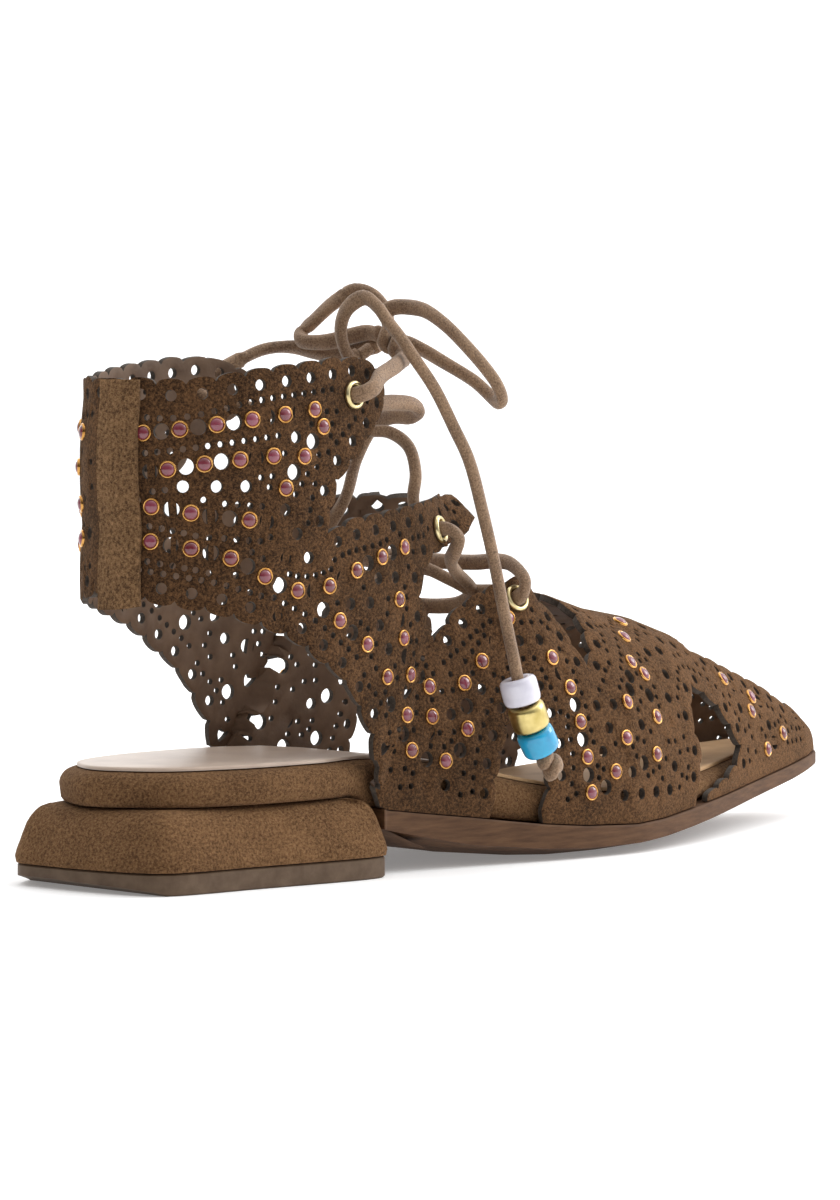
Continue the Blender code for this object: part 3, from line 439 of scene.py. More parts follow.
outsole_leather = Finish("outsole_leather", Roughness=0.68, Specular_IOR_Level=0.25)
outsole_place = outsole_leather.millimetres((0.35, 1.0, 3.0))
outsole_mottle = outsole_leather.noise(outsole_place, 0.3, 4.0, 0.6)
outsole_leather.tinted(outsole_mottle, 0.3, 0.72, (0.066, 0.029, 0.012, 1.0), (0.135, 0.066, 0.030, 1.0))
outsole_leather.feed("Normal", outsole_leather.bump(outsole_leather.noise(outsole_place, 1.6, 3.0), 0.1, 0.5))

sole_outer = SOLE[:, [0, 1]]
sole_inner = SOLE[1:-1, [0, 2]]
sole_outline = spline(np.vstack([sole_outer, sole_inner[::-1]]), 8, closed=True)

outer_start = (OUTSOLE_START, along_sole(OUTSOLE_START, 1))
inner_start = (OUTSOLE_START, along_sole(OUTSOLE_START, 2))
outer_edge = np.vstack([[outer_start], sole_outer[sole_outer[:, 0] > OUTSOLE_START]])
inner_edge = np.vstack([[inner_start], sole_inner[sole_inner[:, 0] > OUTSOLE_START]])
front = spline(np.vstack([outer_edge, inner_edge[::-1]]), 8, closed=True)
front = front[front[:, 0] >= OUTSOLE_START - 0.001]
crown = inset(front, CROWN_INSET)
crown[:, 0] = np.maximum(crown[:, 0], OUTSOLE_START)
near_tip = 0.5 * np.interp(crown[:, 0], CROWN_TIP, [0.0, 1.0])[:, None]
crown = crown * (1.0 - near_tip) + front * near_tip
middle = inset(front, CROWN_INSET / 2)
middle[:, 0] = np.maximum(middle[:, 0], OUTSOLE_START)


def outsole_under(x, y):
    """Height of the outsole's crowned underside, held over the floor."""
    return np.maximum(along_sole(x, 3) - OUTSOLE_CROWN, 0.0)


outsole_rings = [with_heights(crown, outsole_under(crown[:, 0], 0)),
                 with_heights(middle, along_sole(middle[:, 0], 3) - CROWN_MIDDLE),
                 with_heights(front, along_sole(front[:, 0], 3) + OUTSOLE_BEVEL),
                 with_heights(front, along_sole(front[:, 0], 4) - OUTSOLE_ROUND),
                 with_heights(inset(front, OUTSOLE_ROUND), along_sole(front[:, 0], 4))]
outsole_points, outsole_faces = slab(outsole_rings, outsole_under, lambda x, y: along_sole(x, 4))
made = piece("outsole_cut", outsole_points, outsole_faces, [outsole_leather])
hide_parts("outsole")


# Footbed: an insole board with a soft edge, wrapped in the same suede as the heel. It lies on the heel
# block and the outsole, is as wide as the block at the heel, and is stepped in where the upper starts.
FOOTBED_INSET = 3.4
FOOTBED_STEP = (54.0, 66.0)
# Side: inset and height above its under side, then inset and depth under its top
FOOTBED_UNDER = ((1.6, 0.0), (0.9, 0.3), (0.4, 1.0))
FOOTBED_OVER = ((0.0, 3.6), (0.2, 2.6), (0.7, 1.7), (1.3, 1.0), (2.1, 0.5), (3.0, 0.15), (3.8, 0.0))

footbed_suede = suede("footbed_suede", (0.060, 0.028, 0.012, 1.0), (0.250, 0.134, 0.061, 1.0), 1.5, 1.0)

bed = inset(sole_outline, np.interp(sole_outline[:, 0], FOOTBED_STEP, [0.0, FOOTBED_INSET]))
bed_low = along_sole(bed[:, 0], 4) + GAP
bed_high = along_sole(bed[:, 0], 5)
bed_rings = [with_heights(inset(bed, d), bed_low + h) for d, h in FOOTBED_UNDER]
bed_rings += [with_heights(inset(bed, d), bed_high - h) for d, h in FOOTBED_OVER]
bed_points, bed_faces = slab(bed_rings, lambda x, y: along_sole(x, 4) + GAP, lambda x, y: along_sole(x, 5))
made = piece("footbed_wrapped", bed_points, bed_faces, [footbed_suede], smooth_to=60.0)
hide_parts("footbed")


# Sock lining: thin leather glued on the footbed, pale and smooth under the heel, and tan and brushed
# ahead of the seam at the arch.
LINING_INSET = 4.2
LINING_THICK = 0.9
# Side: inset and share of its thickness
LINING_SIDE = ((0.0, 0.0), (0.0, 0.6), (0.25, 0.9), (0.7, 1.0))
# Seam between the two leathers: x from and to, as the shader has it, from the heel's centre
SOCK_SEAM = (72.0, 76.0)

sock = Finish("sock_leather", Roughness=0.42, Coat_Weight=0.12, Coat_Roughness=0.35)
sock_place = sock.millimetres()
sock_x = sock.node("ShaderNodeSeparateXYZ", {}, {"Vector": sock_place}, "X")
sock_front = sock.spread(sock_x, *SOCK_SEAM)
sock_tone = sock.spread(sock.noise(sock_place, 0.08, 3.0, 0.5), 0.3, 0.7)
sock_heel = sock.mix(sock_tone, (0.44, 0.33, 0.26, 1.0), (0.56, 0.44, 0.35, 1.0))
sock_toe = sock.mix(sock_tone, (0.40, 0.24, 0.12, 1.0), (0.60, 0.38, 0.20, 1.0))
sock.feed("Base Color", sock.mix(sock_front, sock_heel, sock_toe))
sock.feed("Roughness", sock_front * 0.5 + 0.42)
sock_grain = sock.noise(sock_place, 1.5, 4.0, 0.6) + sock.noise(sock_place, 0.2, 2.0)
sock.feed("Normal", sock.bump(sock_grain, 0.12, 0.5))
lining = inset(bed, LINING_INSET)
lining_floor = along_sole(lining[:, 0], 5) + GAP
lining_rings = [with_heights(inset(lining, d), lining_floor + share * LINING_THICK)
                for d, share in LINING_SIDE]
lining_points, lining_faces = slab(
    lining_rings, lambda x, y: along_sole(x, 5) + GAP, lambda x, y: along_sole(x, 5) + GAP + LINING_THICK)
made = piece("sock_lining_cut", lining_points, lining_faces, [sock], smooth_to=60.0)
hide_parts("sock_lining")


# Upper: one sheet of suede with a leather lining, punched and scalloped, drawn over the last and
# cemented between footbed and outsole. Both halves are one pattern, mirrored at the instep line.
PIVOT_X = 120.0
PIVOT_Z = 112.0
# Ankle of the last: station, reach to the front, half width, reach to the back
LAST_ANKLE = np.array((
    (-14.0, 31.0, 28.5, 112.0), (0.0, 28.0, 29.0, 112.0), (15.0, 25.0, 29.5, 116.0),
    (30.0, 24.0, 30.0, 128.0), (45.0, 23.5, 30.5, 130.0), (60.0, 23.0, 30.0, 110.0),
))
# Foot of the last: station, reach to the instep line, fullness of the section
LAST_FOOT = np.array((
    (60.0, 23.0, 2.25), (75.0, 23.0, 2.25), (82.0, 24.4, 2.3), (88.0, 28.0, 2.3), (94.0, 33.0, 2.3),
    (100.0, 39.0, 2.3), (111.0, 47.0, 2.3), (132.0, 53.0, 2.25), (150.0, 56.0, 2.2), (174.0, 63.0, 2.1),
    (200.0, 73.0, 2.0), (220.0, 83.0, 2.0), (232.0, 91.0, 2.0),
))
# Middle line of the last, x then y, and its least half width, at the tip
LAST_MIDDLE = ((110.0, 200.0, 262.0), (0.0, 2.5, 3.0))
TIP_HALF = 3.2
LAST_END = 230.5
UPPER_WALL = 1.9
UPPER_INSET = 0.5
SCALLOP_PITCH = 7.4
SCALLOP_DEPTH = 1.5
SCALLOP_STEPS = 10
SCALLOP_END = 0.55
# Edges of one half seen from the side: cut, then x, z
EDGES = (
    ("scallop", ((4.0, 117.4), (10.5, 116.0), (16.0, 115.8), (34.0, 118.4), (63.0, 121.6))),
    ("scallop", ((63.0, 121.6), (71.5, 118.5), (74.5, 113.0), (69.0, 106.6))),
    ("scallop", ((69.0, 106.6), (60.0, 100.0), (52.8, 93.6), (50.6, 86.7), (49.2, 80.2))),
    ("scallop", ((49.2, 80.2), (56.0, 82.6), (76.3, 85.0), (98.0, 87.0), (113.5, 88.4))),
    ("plain", ((113.5, 88.4), (115.0, 83.0), (110.8, 80.6))),
    ("scallop", ((110.8, 80.6), (102.4, 78.4), (88.5, 74.8), (82.8, 67.0), (84.6, 60.0), (89.7, 54.2))),
    ("scallop", ((89.7, 54.2), (100.0, 61.0), (110.5, 65.6), (121.5, 68.6))),
    ("plain", ((121.5, 68.6), (125.5, 66.5), (126.2, 62.5))),
    ("scallop", ((126.2, 62.5), (130.5, 58.6), (132.6, 53.8), (137.6, 45.8))),
    ("scallop", ((137.6, 45.8), (142.3, 49.8), (145.0, 54.6), (147.0, 58.0), (149.0, 75.0))),
    ("centre", ((149.0, 75.0), (195.0, 65.0))),
    ("plain", ((195.0, 65.0), (196.6, 46.4))),
    ("scallop", ((196.6, 46.4), (217.0, 39.6), (234.5, 33.8), (247.0, 28.6), (254.0, 40.0))),
    ("centre", ((254.0, 40.0), (259.0, 40.0))),
    ("plain", ((259.0, 40.0), (259.0, 0.0))),
    ("foot", ((259.0, 0.0), (183.0, 0.0))),
    ("scallop", ((183.0, 11.0), (199.0, 15.0), (206.5, 21.0), (203.0, 26.6), (195.7, 34.4), (184.0, 39.6))),
    ("scallop", ((184.0, 39.6), (177.5, 31.0), (179.3, 22.0), (176.0, 12.0))),
    ("foot", ((176.0, 0.0), (117.0, 0.0))),
    ("scallop", ((117.0, 11.0), (121.0, 22.0), (119.8, 34.0), (115.0, 44.6))),
    ("scallop", ((115.0, 44.6), (108.6, 36.0), (103.6, 23.0), (102.5, 14.0))),
    ("foot", ((102.0, 13.0), (69.0, 16.6))),
    ("scallop", ((67.5, 20.0), (66.6, 27.0), (65.0, 34.0), (60.4, 40.8), (55.4, 47.0))),
    ("scallop", ((55.4, 47.0), (49.2, 51.9), (42.4, 56.8), (35.0, 60.3), (22.4, 64.4), (9.0, 67.8),
                 (4.0, 70.2))),
    ("back", ((4.0, 70.2), (4.0, 117.4))),
)
EDGE_STEP = 1.2
SHORTEST_EDGE = 0.12
# Radius of each kind of hole
EYELET_SEAT_HOLE = 2.7
LARGE_HOLE = 1.9
MEDIUM_HOLE = 1.45
SCALLOP_HOLE = 1.35
PIN_HOLE = 0.78
HOLE_CORNERS = {"eyelet": 24, "large": 18, "medium": 14, "scallop": 12, "pin": 8}
# Holes and pinholes inwards from the scallops' base line, and pinholes above and below a row of studs
SCALLOP_HOLE_DEPTH = 2.4
PIN_DEPTH = 5.8
PIN_PITCH = 2.9
PIN_ABOVE = 3.4
PIN_BELOW = 4.6
# Staggered fields of medium holes and pinholes: pitch of each, and the vamp's top by station and angle
MEDIUM_FIELD = 6.4
PIN_FIELD = 3.3
VAMP_STATIONS = (151.0, 196.0)
VAMP_TOP = 36.0
# Plain band over the sole, and how far a cut edge is rounded, along the skin and into it
RAND = 4.4
EDGE_RING = 0.42
EDGE_DROP = 0.22
# Net between the cuts: steps by station and angle, and its room to a cut
NET_STEPS = (2.2, 2.6)
NET_ROOM = 1.0
NET_STRETCH = 0.8
# Three eyelets a side: name, x, z
EYELETS = (("top", 59.6, 113.2), ("middle", 95.6, 80.6), ("front", 116.6, 63.4))
# Rows of studs (s), large holes (h) and gaps (-), seen from the side: items, then x, z of the row's knots
ROWS = (
    ("shshshshshs", ((10.0, 104.8), (24.0, 107.0), (46.4, 110.0))),
    ("hshshshs", ((10.6, 96.0), (21.0, 98.0), (34.8, 99.4))),
    ("shshs", ((49.0, 106.0), (43.0, 99.0), (38.0, 92.0))),
    ("shshhsh", ((11.0, 88.0), (22.0, 85.6), (33.2, 84.4))),
    ("shshshshshshshshs",
     ((11.0, 80.0), (25.0, 76.0), (38.0, 69.0), (46.5, 68.2), (64.0, 74.2), (77.0, 77.2))),
    ("hshs", ((48.6, 63.6), (53.0, 61.0), (62.0, 55.0))),
    ("shshs", ((74.0, 65.0), (75.0, 57.0), (78.0, 47.0))),
    ("shsh", ((69.0, 47.0), (70.6, 40.6), (76.0, 38.0), (77.0, 33.0))),
    ("shshshs", ((79.0, 29.0), (86.0, 26.0), (93.0, 27.0), (97.0, 35.0), (97.0, 44.0))),
    ("hshsh", ((83.6, 46.4), (87.0, 42.0), (85.0, 33.0))),
    ("shsh", ((103.0, 49.0), (107.5, 53.0), (114.0, 60.0), (119.0, 60.0))),
    ("shshshshs", ((124.0, 49.0), (129.0, 40.0), (130.0, 33.0), (131.0, 26.0), (132.0, 16.0))),
    ("hshshsh", ((137.4, 17.0), (141.0, 21.0), (145.0, 26.0), (147.0, 35.0), (152.0, 40.0))),
    ("hshshs", ((154.0, 43.0), (157.0, 46.0), (161.0, 51.0), (169.0, 55.0))),
    ("shshsh", ((161.0, 43.0), (160.0, 35.0), (161.0, 26.0), (152.0, 22.0))),
    ("hsh-sh", ((201.4, 40.0), (207.0, 38.6), (217.0, 34.4), (225.0, 32.0))),
    ("shshs", ((217.0, 30.0), (221.0, 20.0), (234.0, 23.0))),
)


def power(value, exponent):
    """A power that keeps its value's sign."""
    return np.sign(value) * np.abs(value) ** exponent


def section(s):
    """The last's section at each station: start, direction, reaches, half widths, middle, sweep, fullness."""
    s = np.asarray(s, float)
    turn = np.radians(np.clip(s, 0.0, 90.0))
    start = np.stack([PIVOT_X + np.maximum(s - 90.0, 0.0), PIVOT_Z - np.minimum(s, 0.0)], -1)
    way = -np.stack([np.cos(turn), np.sin(turn)], -1)
    ankle = s < 60.0
    front = np.where(ankle, np.interp(s, LAST_ANKLE[:, 0], LAST_ANKLE[:, 1]),
                     np.interp(s, LAST_FOOT[:, 0], LAST_FOOT[:, 1]))
    full = np.where(ankle, np.interp(s, [0.0, 60.0], [2.0, 2.25]),
                    np.interp(s, LAST_FOOT[:, 0], LAST_FOOT[:, 2]))
    half = np.interp(s, LAST_ANKLE[:, 0], LAST_ANKLE[:, 2])
    slope = np.where(ankle, 1.0, -way[:, 1])
    foot_back = np.full(len(s), 100.0)
    for _ in range(8):
        foot_back = (PIVOT_Z - along_sole(start[:, 0] + way[:, 0] * foot_back, 4) - GAP) / slope
    x = start[:, 0] + way[:, 0] * foot_back
    middle_line = np.interp(x, *LAST_MIDDLE)

    def at_sole(column, sign):
        lean = (along_sole(x + 1.0, column) - along_sole(x - 1.0, column)) / 2.0
        reach = sign * (along_sole(x, column) - middle_line) - UPPER_INSET * np.hypot(1.0, lean)
        return np.maximum(reach, TIP_HALF)

    back = np.where(ankle, np.interp(s, LAST_ANKLE[:, 0], LAST_ANKLE[:, 3]), foot_back)
    outer = np.where(ankle, half, at_sole(1, -1.0))
    inner = np.where(ankle, half - 1.5 * np.clip((s - 20.0) / 40.0, 0.0, None), at_sole(2, 1.0))
    centre = np.where(ankle, 0.0, middle_line)
    return start, way, front, back, outer, inner, centre, np.interp(s, [25.0, 58.0], [180.0, 90.0]), full


def skin(s, angle, side):
    """Point of the last's surface: each section is a rounded arch, from the instep line to back or sole."""
    start, way, front, back, outer, inner, centre, sweep, full = section(s)
    lowest = power(np.cos(np.radians(sweep)), 2.0 / full)
    share = (1.0 - power(np.cos(np.radians(angle)), 2.0 / full)) / (1.0 - lowest)
    reach = front + (back - front) * share
    across = centre + side * np.where(side < 0, outer, inner) * power(np.sin(np.radians(angle)), 2.0 / full)
    return np.stack([start[:, 0] + way[:, 0] * reach, across, start[:, 1] + way[:, 1] * reach], -1)


def skin_frame(s, angle, side):
    """Points, outward normals, and the points' change with station and with angle."""
    s, angle = np.asarray(s, float), np.asarray(angle, float)
    sweep = section(s)[7]
    low, high = np.maximum(angle - 0.5, 0.01), np.minimum(angle + 0.5, sweep - 0.01)
    far = np.minimum(s + 0.4, LAST_END)
    along = (skin(far, angle, side) - skin(s - 0.4, angle, side)) / (far - s + 0.4)[:, None]
    round_ = (skin(s, high, side) - skin(s, low, side)) / (high - low)[:, None]
    seam = (angle < 0.02) | (angle > 179.9)
    facing = np.where(angle < 1.0, 1.0, -1.0) * side
    round_ = np.where(seam[:, None], np.stack([0 * facing, facing, 0 * facing], -1), round_)
    along[seam, 1] = 0.0
    normal = np.cross(along, round_) * np.broadcast_to(side, len(s))[:, None]
    return skin(s, angle, side), normal / np.linalg.norm(normal, axis=1)[:, None], along, round_


def at_side(points):
    """Station and angle of points seen at x, z from the side."""
    x, z = np.asarray(points, float).T
    s = np.degrees(np.arctan2(PIVOT_Z - z, PIVOT_X - x))
    s = np.where(x >= PIVOT_X, 90.0 + x - PIVOT_X, s)
    s = np.where(z >= PIVOT_Z, PIVOT_Z - z, s)
    reach = np.where(z >= PIVOT_Z, PIVOT_X - x, np.where(x >= PIVOT_X, PIVOT_Z - z,
                                                         np.hypot(PIVOT_X - x, PIVOT_Z - z)))
    _, _, front, back, _, _, _, sweep, full = section(s)
    lowest = power(np.cos(np.radians(sweep)), 2.0 / full)
    value = 1.0 - (reach - front) / (back - front) * (1.0 - lowest)
    angle = np.degrees(np.arccos(power(np.clip(value, lowest, 1.0), full / 2.0)))
    return np.stack([s, np.where(angle > 174.0, 180.0, angle)], -1)


def stepped(net, steps):
    """Net places a few millimetres away: each step is a vector in space, laid into the surface."""
    _, _, per_s, per_angle = skin_frame(net[:, 0], net[:, 1], -1)
    back_to_net = np.linalg.pinv(np.stack([per_s, per_angle], -1))
    return net + np.einsum("nij,nj->ni", back_to_net, steps)


def walk(points, step):
    """Side-view points as a path on the surface: net places, places in space and real lengths, about a step
    apart.
    """
    knots = at_side(points)
    spans = np.linalg.norm(np.diff(skin(knots[:, 0], knots[:, 1], -1), axis=0), axis=1)
    parts = np.maximum(1, np.ceil(spans / step)).astype(int)
    where = np.concatenate([k + np.arange(n) / n for k, n in enumerate(parts)] + [[len(parts)]])
    net = np.stack([np.interp(where, np.arange(len(knots)), knots[:, k]) for k in (0, 1)], -1)
    places = skin(net[:, 0], net[:, 1], -1)
    lengths = np.concatenate([[0.0], np.cumsum(np.linalg.norm(np.diff(places, axis=0), axis=1))])
    return net, places, lengths


def at_lengths(path, marks):
    """Net places and unit tangents at given lengths along a walked path."""
    net, places, lengths = path
    here = np.stack([np.interp(marks, lengths, net[:, k]) for k in (0, 1)], -1)
    before, after = (np.clip(marks + d, 0, lengths[-1]) for d in (-0.5, 0.5))
    tangent = np.stack([np.interp(after, lengths, places[:, k]) - np.interp(before, lengths, places[:, k])
                        for k in range(3)], -1)
    return here, tangent / np.linalg.norm(tangent, axis=1)[:, None]


def sideways(here, tangent, distance):
    """Net places moved square to a path in the surface, outwards where the distance is positive."""
    normal = skin_frame(here[:, 0], here[:, 1], -1)[1]
    return stepped(here, np.cross(normal, tangent) * np.broadcast_to(distance, len(here))[:, None])


def scalloped(corners):
    """A scalloped cut, the hole in each scallop and the pinholes behind them, as net places.

    A scallop bulges outwards by its depth times the height of a half circle over its pitch.
    """
    path = walk(spline(corners, 6), 1.0)
    lobes = max(1, round(path[2][-1] / SCALLOP_PITCH))
    pitch = path[2][-1] / lobes
    number = np.arange(lobes * SCALLOP_STEPS)
    phase = (number % SCALLOP_STEPS) / SCALLOP_STEPS
    lobe = number // SCALLOP_STEPS
    bulge = SCALLOP_DEPTH * np.sqrt(1.0 - (2.0 * phase - 1.0) ** 2)
    bulge = bulge * np.where((lobe == 0) | (lobe == lobes - 1), SCALLOP_END, 1.0)
    here, tangent = at_lengths(path, number * pitch / SCALLOP_STEPS)
    on_line = (here[:, 1] < 0.05) | (here[:, 1] > 179.9)
    cut_line = np.where(on_line[:, None], here, sideways(here, tangent, bulge))
    middles = at_lengths(path, (np.arange(lobes) + 0.5) * pitch)
    pins = at_lengths(path, np.arange(1.0, path[2][-1] - 0.5, PIN_PITCH))
    return cut_line, sideways(*middles, -SCALLOP_HOLE_DEPTH), sideways(*pins, -PIN_DEPTH)


# Outline of the half pattern, as net places in order round it
outline_parts, scallop_holes, edge_pins = [], [], []
for cut, corners in EDGES:
    if cut == "scallop":
        cut_line, holes, pins = scalloped(corners)
        outline_parts.append(cut_line)
        scallop_holes.append(holes)
        edge_pins.append(pins)
    elif cut == "foot":
        (from_s, _), (to_s, _) = at_side(corners)
        stations = np.linspace(from_s, to_s, int(abs(from_s - to_s) / EDGE_STEP) + 2)
        outline_parts.append(np.stack([stations, section(stations)[7]], -1))
    else:
        outline_parts.append(walk(corners, 2.5)[0][:-1])
outline = np.vstack(outline_parts)
outline_sweep = section(outline[:, 0])[7]
outline[:, 1] = np.where(outline[:, 1] < 0.6, 0.0, np.minimum(outline[:, 1], outline_sweep))
outline[:, 1] = np.where((outline[:, 0] < 25.0) & (outline[:, 1] > 177.5), 180.0, outline[:, 1])
spans = np.linalg.norm(np.roll(outline, -1, axis=0) - outline, axis=1)
outline = outline[spans > SHORTEST_EDGE]
outline_places = skin(outline[:, 0], outline[:, 1], -1)

# Places of the studs, large holes and pinholes along the rows
row_items = {"s": [], "h": []}
row_pins = []
for items, knots in ROWS:
    path = walk(spline(knots, 4) if len(knots) > 2 else np.array(knots), 1.0)
    marks = np.linspace(0.0, path[2][-1], len(items))
    here, _ = at_lengths(path, marks)
    for letter in "sh":
        chosen = [k for k, item in enumerate(items) if item == letter]
        row_items[letter].append(here[chosen])
    pin_marks = np.arange(0.0, path[2][-1] + 0.5, PIN_PITCH)
    for offset in (PIN_ABOVE, -PIN_BELOW):
        row_pins.append(sideways(*at_lengths(path, pin_marks), offset))


def scattered(step):
    """Staggered places: rows over the vamp's top, by station and angle, then rows seen from the side."""
    stations, angles = np.meshgrid(np.arange(*VAMP_STATIONS, step), np.arange(0.8, 11.0) * 1.65 * step,
                                   indexing="ij")
    stations = stations + 0.5 * step * (np.arange(angles.shape[1]) % 2)[None, :]
    on_top = np.stack([stations.ravel(), angles.ravel()], -1)
    on_top = on_top[on_top[:, 1] < VAMP_TOP]
    across, up = np.meshgrid(np.arange(6.0, 256.0, step), np.arange(9.0, 116.0, 0.87 * step), indexing="ij")
    across = across + 0.5 * step * (np.arange(across.shape[1]) % 2)[None, :]
    return np.vstack([on_top, at_side(np.stack([across.ravel(), up.ravel()], -1))])


# What is punched or set, in the order in which it is kept where two would meet: kind, net places, radius,
# room that it keeps free round its centre, least distance from the upper's edge
wanted = [
    ("eyelet", at_side([row[1:] for row in EYELETS]), EYELET_SEAT_HOLE, 4.0, 2.0),
    ("stud", np.vstack(row_items["s"]), 0.0, 1.75, 3.0),
    ("large", np.vstack(row_items["h"]), LARGE_HOLE, 1.9, 3.0),
    ("scallop", np.vstack(scallop_holes), SCALLOP_HOLE, 1.6, 2.2),
    ("pin", np.vstack(edge_pins), PIN_HOLE, 1.1, 4.4),
    ("medium", scattered(MEDIUM_FIELD), MEDIUM_HOLE, 2.7, 5.6),
    ("pin", np.vstack(row_pins), PIN_HOLE, 1.1, 4.6),
    ("pin", scattered(PIN_FIELD), PIN_HOLE, 1.45, 4.6),
]
kept_net, kept_radius, kept_room, kept_kind = np.zeros((0, 2)), np.zeros(0), np.zeros(0), []
for kind, net, radius, room, from_edge in wanted:
    places = skin(net[:, 0], net[:, 1], -1)
    apart = np.min(np.linalg.norm(places[:, None] - outline_places[None], axis=2), axis=1)
    rand_top = along_sole(places[:, 0], 4) + RAND
    good = is_inside(net, outline) & (apart > from_edge) & (places[:, 2] > rand_top + radius)
    good &= (net[:, 1] > 3.0) | (net[:, 0] > 100.0)
    for k in np.flatnonzero(good):
        here = places[k]
        if len(kept_net):
            others = skin(kept_net[:, 0], kept_net[:, 1], -1)
            if np.any(np.linalg.norm(others - here, axis=1) < kept_room + room):
                continue
        kept_net = np.vstack([kept_net, net[k]])
        kept_radius = np.append(kept_radius, radius)
        kept_room = np.append(kept_room, room)
        kept_kind.append(kind)
kept_kind = np.array(kept_kind)


def ring_loops(net, radius, corners):
    """Loops round holes, laid into the surface: holes by corners by station and angle."""
    _, normal, per_s, per_angle = skin_frame(net[:, 0], net[:, 1], -1)
    first = per_s / np.linalg.norm(per_s, axis=1)[:, None]
    second = np.cross(normal, first)
    turn = 2 * np.pi * np.arange(corners) / corners
    steps = (np.cos(turn)[None, :, None] * first[:, None] + np.sin(turn)[None, :, None] * second[:, None])
    steps = steps * np.broadcast_to(radius, len(net))[:, None, None]
    repeated = np.repeat(net, corners, axis=0)
    return stepped(repeated, steps.reshape(-1, 3)).reshape(len(net), corners, 2)


# Cut loops and a ring of points round each, then the free points between them, joined into triangles
net_points, net_loops = [outline], [np.zeros(len(outline), int)]
net_edges = [np.stack([np.arange(len(outline)), (np.arange(len(outline)) + 1) % len(outline)], -1)]
ring_points = []
count, loop_number = len(outline), 1
for kind, corners in HOLE_CORNERS.items():
    chosen = kept_kind == kind
    if not chosen.any():
        continue
    loops = ring_loops(kept_net[chosen], kept_radius[chosen], corners)
    number = np.arange(loops.shape[0] * corners).reshape(-1, corners)
    net_points.append(loops.reshape(-1, 2))
    net_loops.append(np.repeat(loop_number + np.arange(len(loops)), corners))
    net_edges.append(count + np.stack([number, np.roll(number, -1, axis=1)], -1).reshape(-1, 2))
    ring_points.append(ring_loops(kept_net[chosen], kept_radius[chosen] + EDGE_RING, corners).reshape(-1, 2))
    count += number.size
    loop_number += len(loops)
rim = np.vstack(net_points)
rim_count = len(rim)
outline_ahead = np.roll(outline_places, -1, axis=0) - np.roll(outline_places, 1, axis=0)
outline_ahead /= np.linalg.norm(outline_ahead, axis=1)[:, None]
inner_ring = sideways(outline, outline_ahead, -EDGE_RING)
ring_points = np.vstack(ring_points + [inner_ring])
ring_places = skin(ring_points[:, 0], ring_points[:, 1], -1)
rim_places = skin(rim[:, 0], rim[:, 1], -1)


def nearest(places, others, block=400):
    """Distance from each place to the nearest of the others."""
    return np.concatenate([np.min(np.linalg.norm(places[k:k + block, None] - others[None], axis=2), axis=1)
                           for k in range(0, len(places), block)])


free = is_inside(ring_points, outline) & (nearest(ring_places, rim_places) > 0.8 * EDGE_RING)
free &= (ring_points[:, 1] > 0.8) & (ring_points[:, 1] < section(ring_points[:, 0])[7] - 0.4)
ring_points = ring_points[free]
stations, angles = np.meshgrid(np.arange(-9.0, 230.0, NET_STEPS[0]), np.arange(2.5, 178.0, NET_STEPS[1]),
                               indexing="ij")
angles = angles + NET_STEPS[1] / 2 * (np.arange(len(stations)) % 2)[:, None]
grid = np.stack([stations.ravel(), angles.ravel()], -1)
grid = grid[(grid[:, 1] < section(grid[:, 0])[7] - NET_ROOM)]
grid = grid[is_inside(grid, outline)]
grid_places = skin(grid[:, 0], grid[:, 1], -1)
ring_places = skin(ring_points[:, 0], ring_points[:, 1], -1)
grid = grid[nearest(grid_places, np.vstack([rim_places, ring_places])) > NET_ROOM]
net = np.vstack([rim, ring_points, grid])
flat = [Vector((a, NET_STRETCH * b)) for a, b in net.tolist()]
found = delaunay_2d_cdt(flat, np.vstack(net_edges).tolist(), [], 0, 1e-7)
origin = np.array([o[0] if o else -1 for o in found[3]])
where = np.array([(v.x, v.y / NET_STRETCH) for v in found[0]])
where = np.where((origin >= 0)[:, None], net[origin], where)
triangles = np.array(found[2])
loop_of = np.full(len(where), -1)
known = (origin >= 0) & (origin < rim_count)
loop_of[known] = np.concatenate(net_loops)[origin[known]]
corner_loops = loop_of[triangles]
in_hole = (corner_loops[:, 0] > 0) & np.all(corner_loops == corner_loops[:, :1], axis=1)
centres = where[triangles].mean(1)
triangles = triangles[~in_hole & is_inside(centres, outline)]
a, b, c = (where[triangles[:, k]] for k in range(3))
area = (b[:, 0] - a[:, 0]) * (c[:, 1] - a[:, 1]) - (c[:, 0] - a[:, 0]) * (b[:, 1] - a[:, 1])
triangles[area < 0] = triangles[area < 0][:, ::-1]

# Outer and inner skin on both sides of the instep line, and the cut edges between them
on_rim = loop_of >= 0
shared = (where[:, 1] <= 0.0) | (where[:, 1] >= 180.0)
size = len(where)
far_number = np.where(shared, np.arange(size), size + np.arange(size))
outer_points, inner_points = [], []
for side in (-1, 1):
    place, normal, _, _ = skin_frame(where[:, 0], where[:, 1], side)
    drop = np.where(on_rim & ~shared, EDGE_DROP, 0.0)[:, None]
    outer_points.append(place - normal * drop)
    inner_points.append(place - normal * (UPPER_WALL - 0.6 * drop))
points = np.vstack(outer_points + inner_points)
near_faces, far_faces = triangles[:, ::-1], far_number[triangles]
outer_faces = np.vstack([near_faces, far_faces])
inner_faces = outer_faces[:, ::-1] + 2 * size
directed = np.vstack([outer_faces[:, [0, 1]], outer_faces[:, [1, 2]], outer_faces[:, [2, 0]]])
keys = directed[:, 0].astype(np.int64) * (4 * size) + directed[:, 1]
turned_keys = directed[:, 1].astype(np.int64) * (4 * size) + directed[:, 0]
rims = directed[~np.isin(keys, turned_keys)]
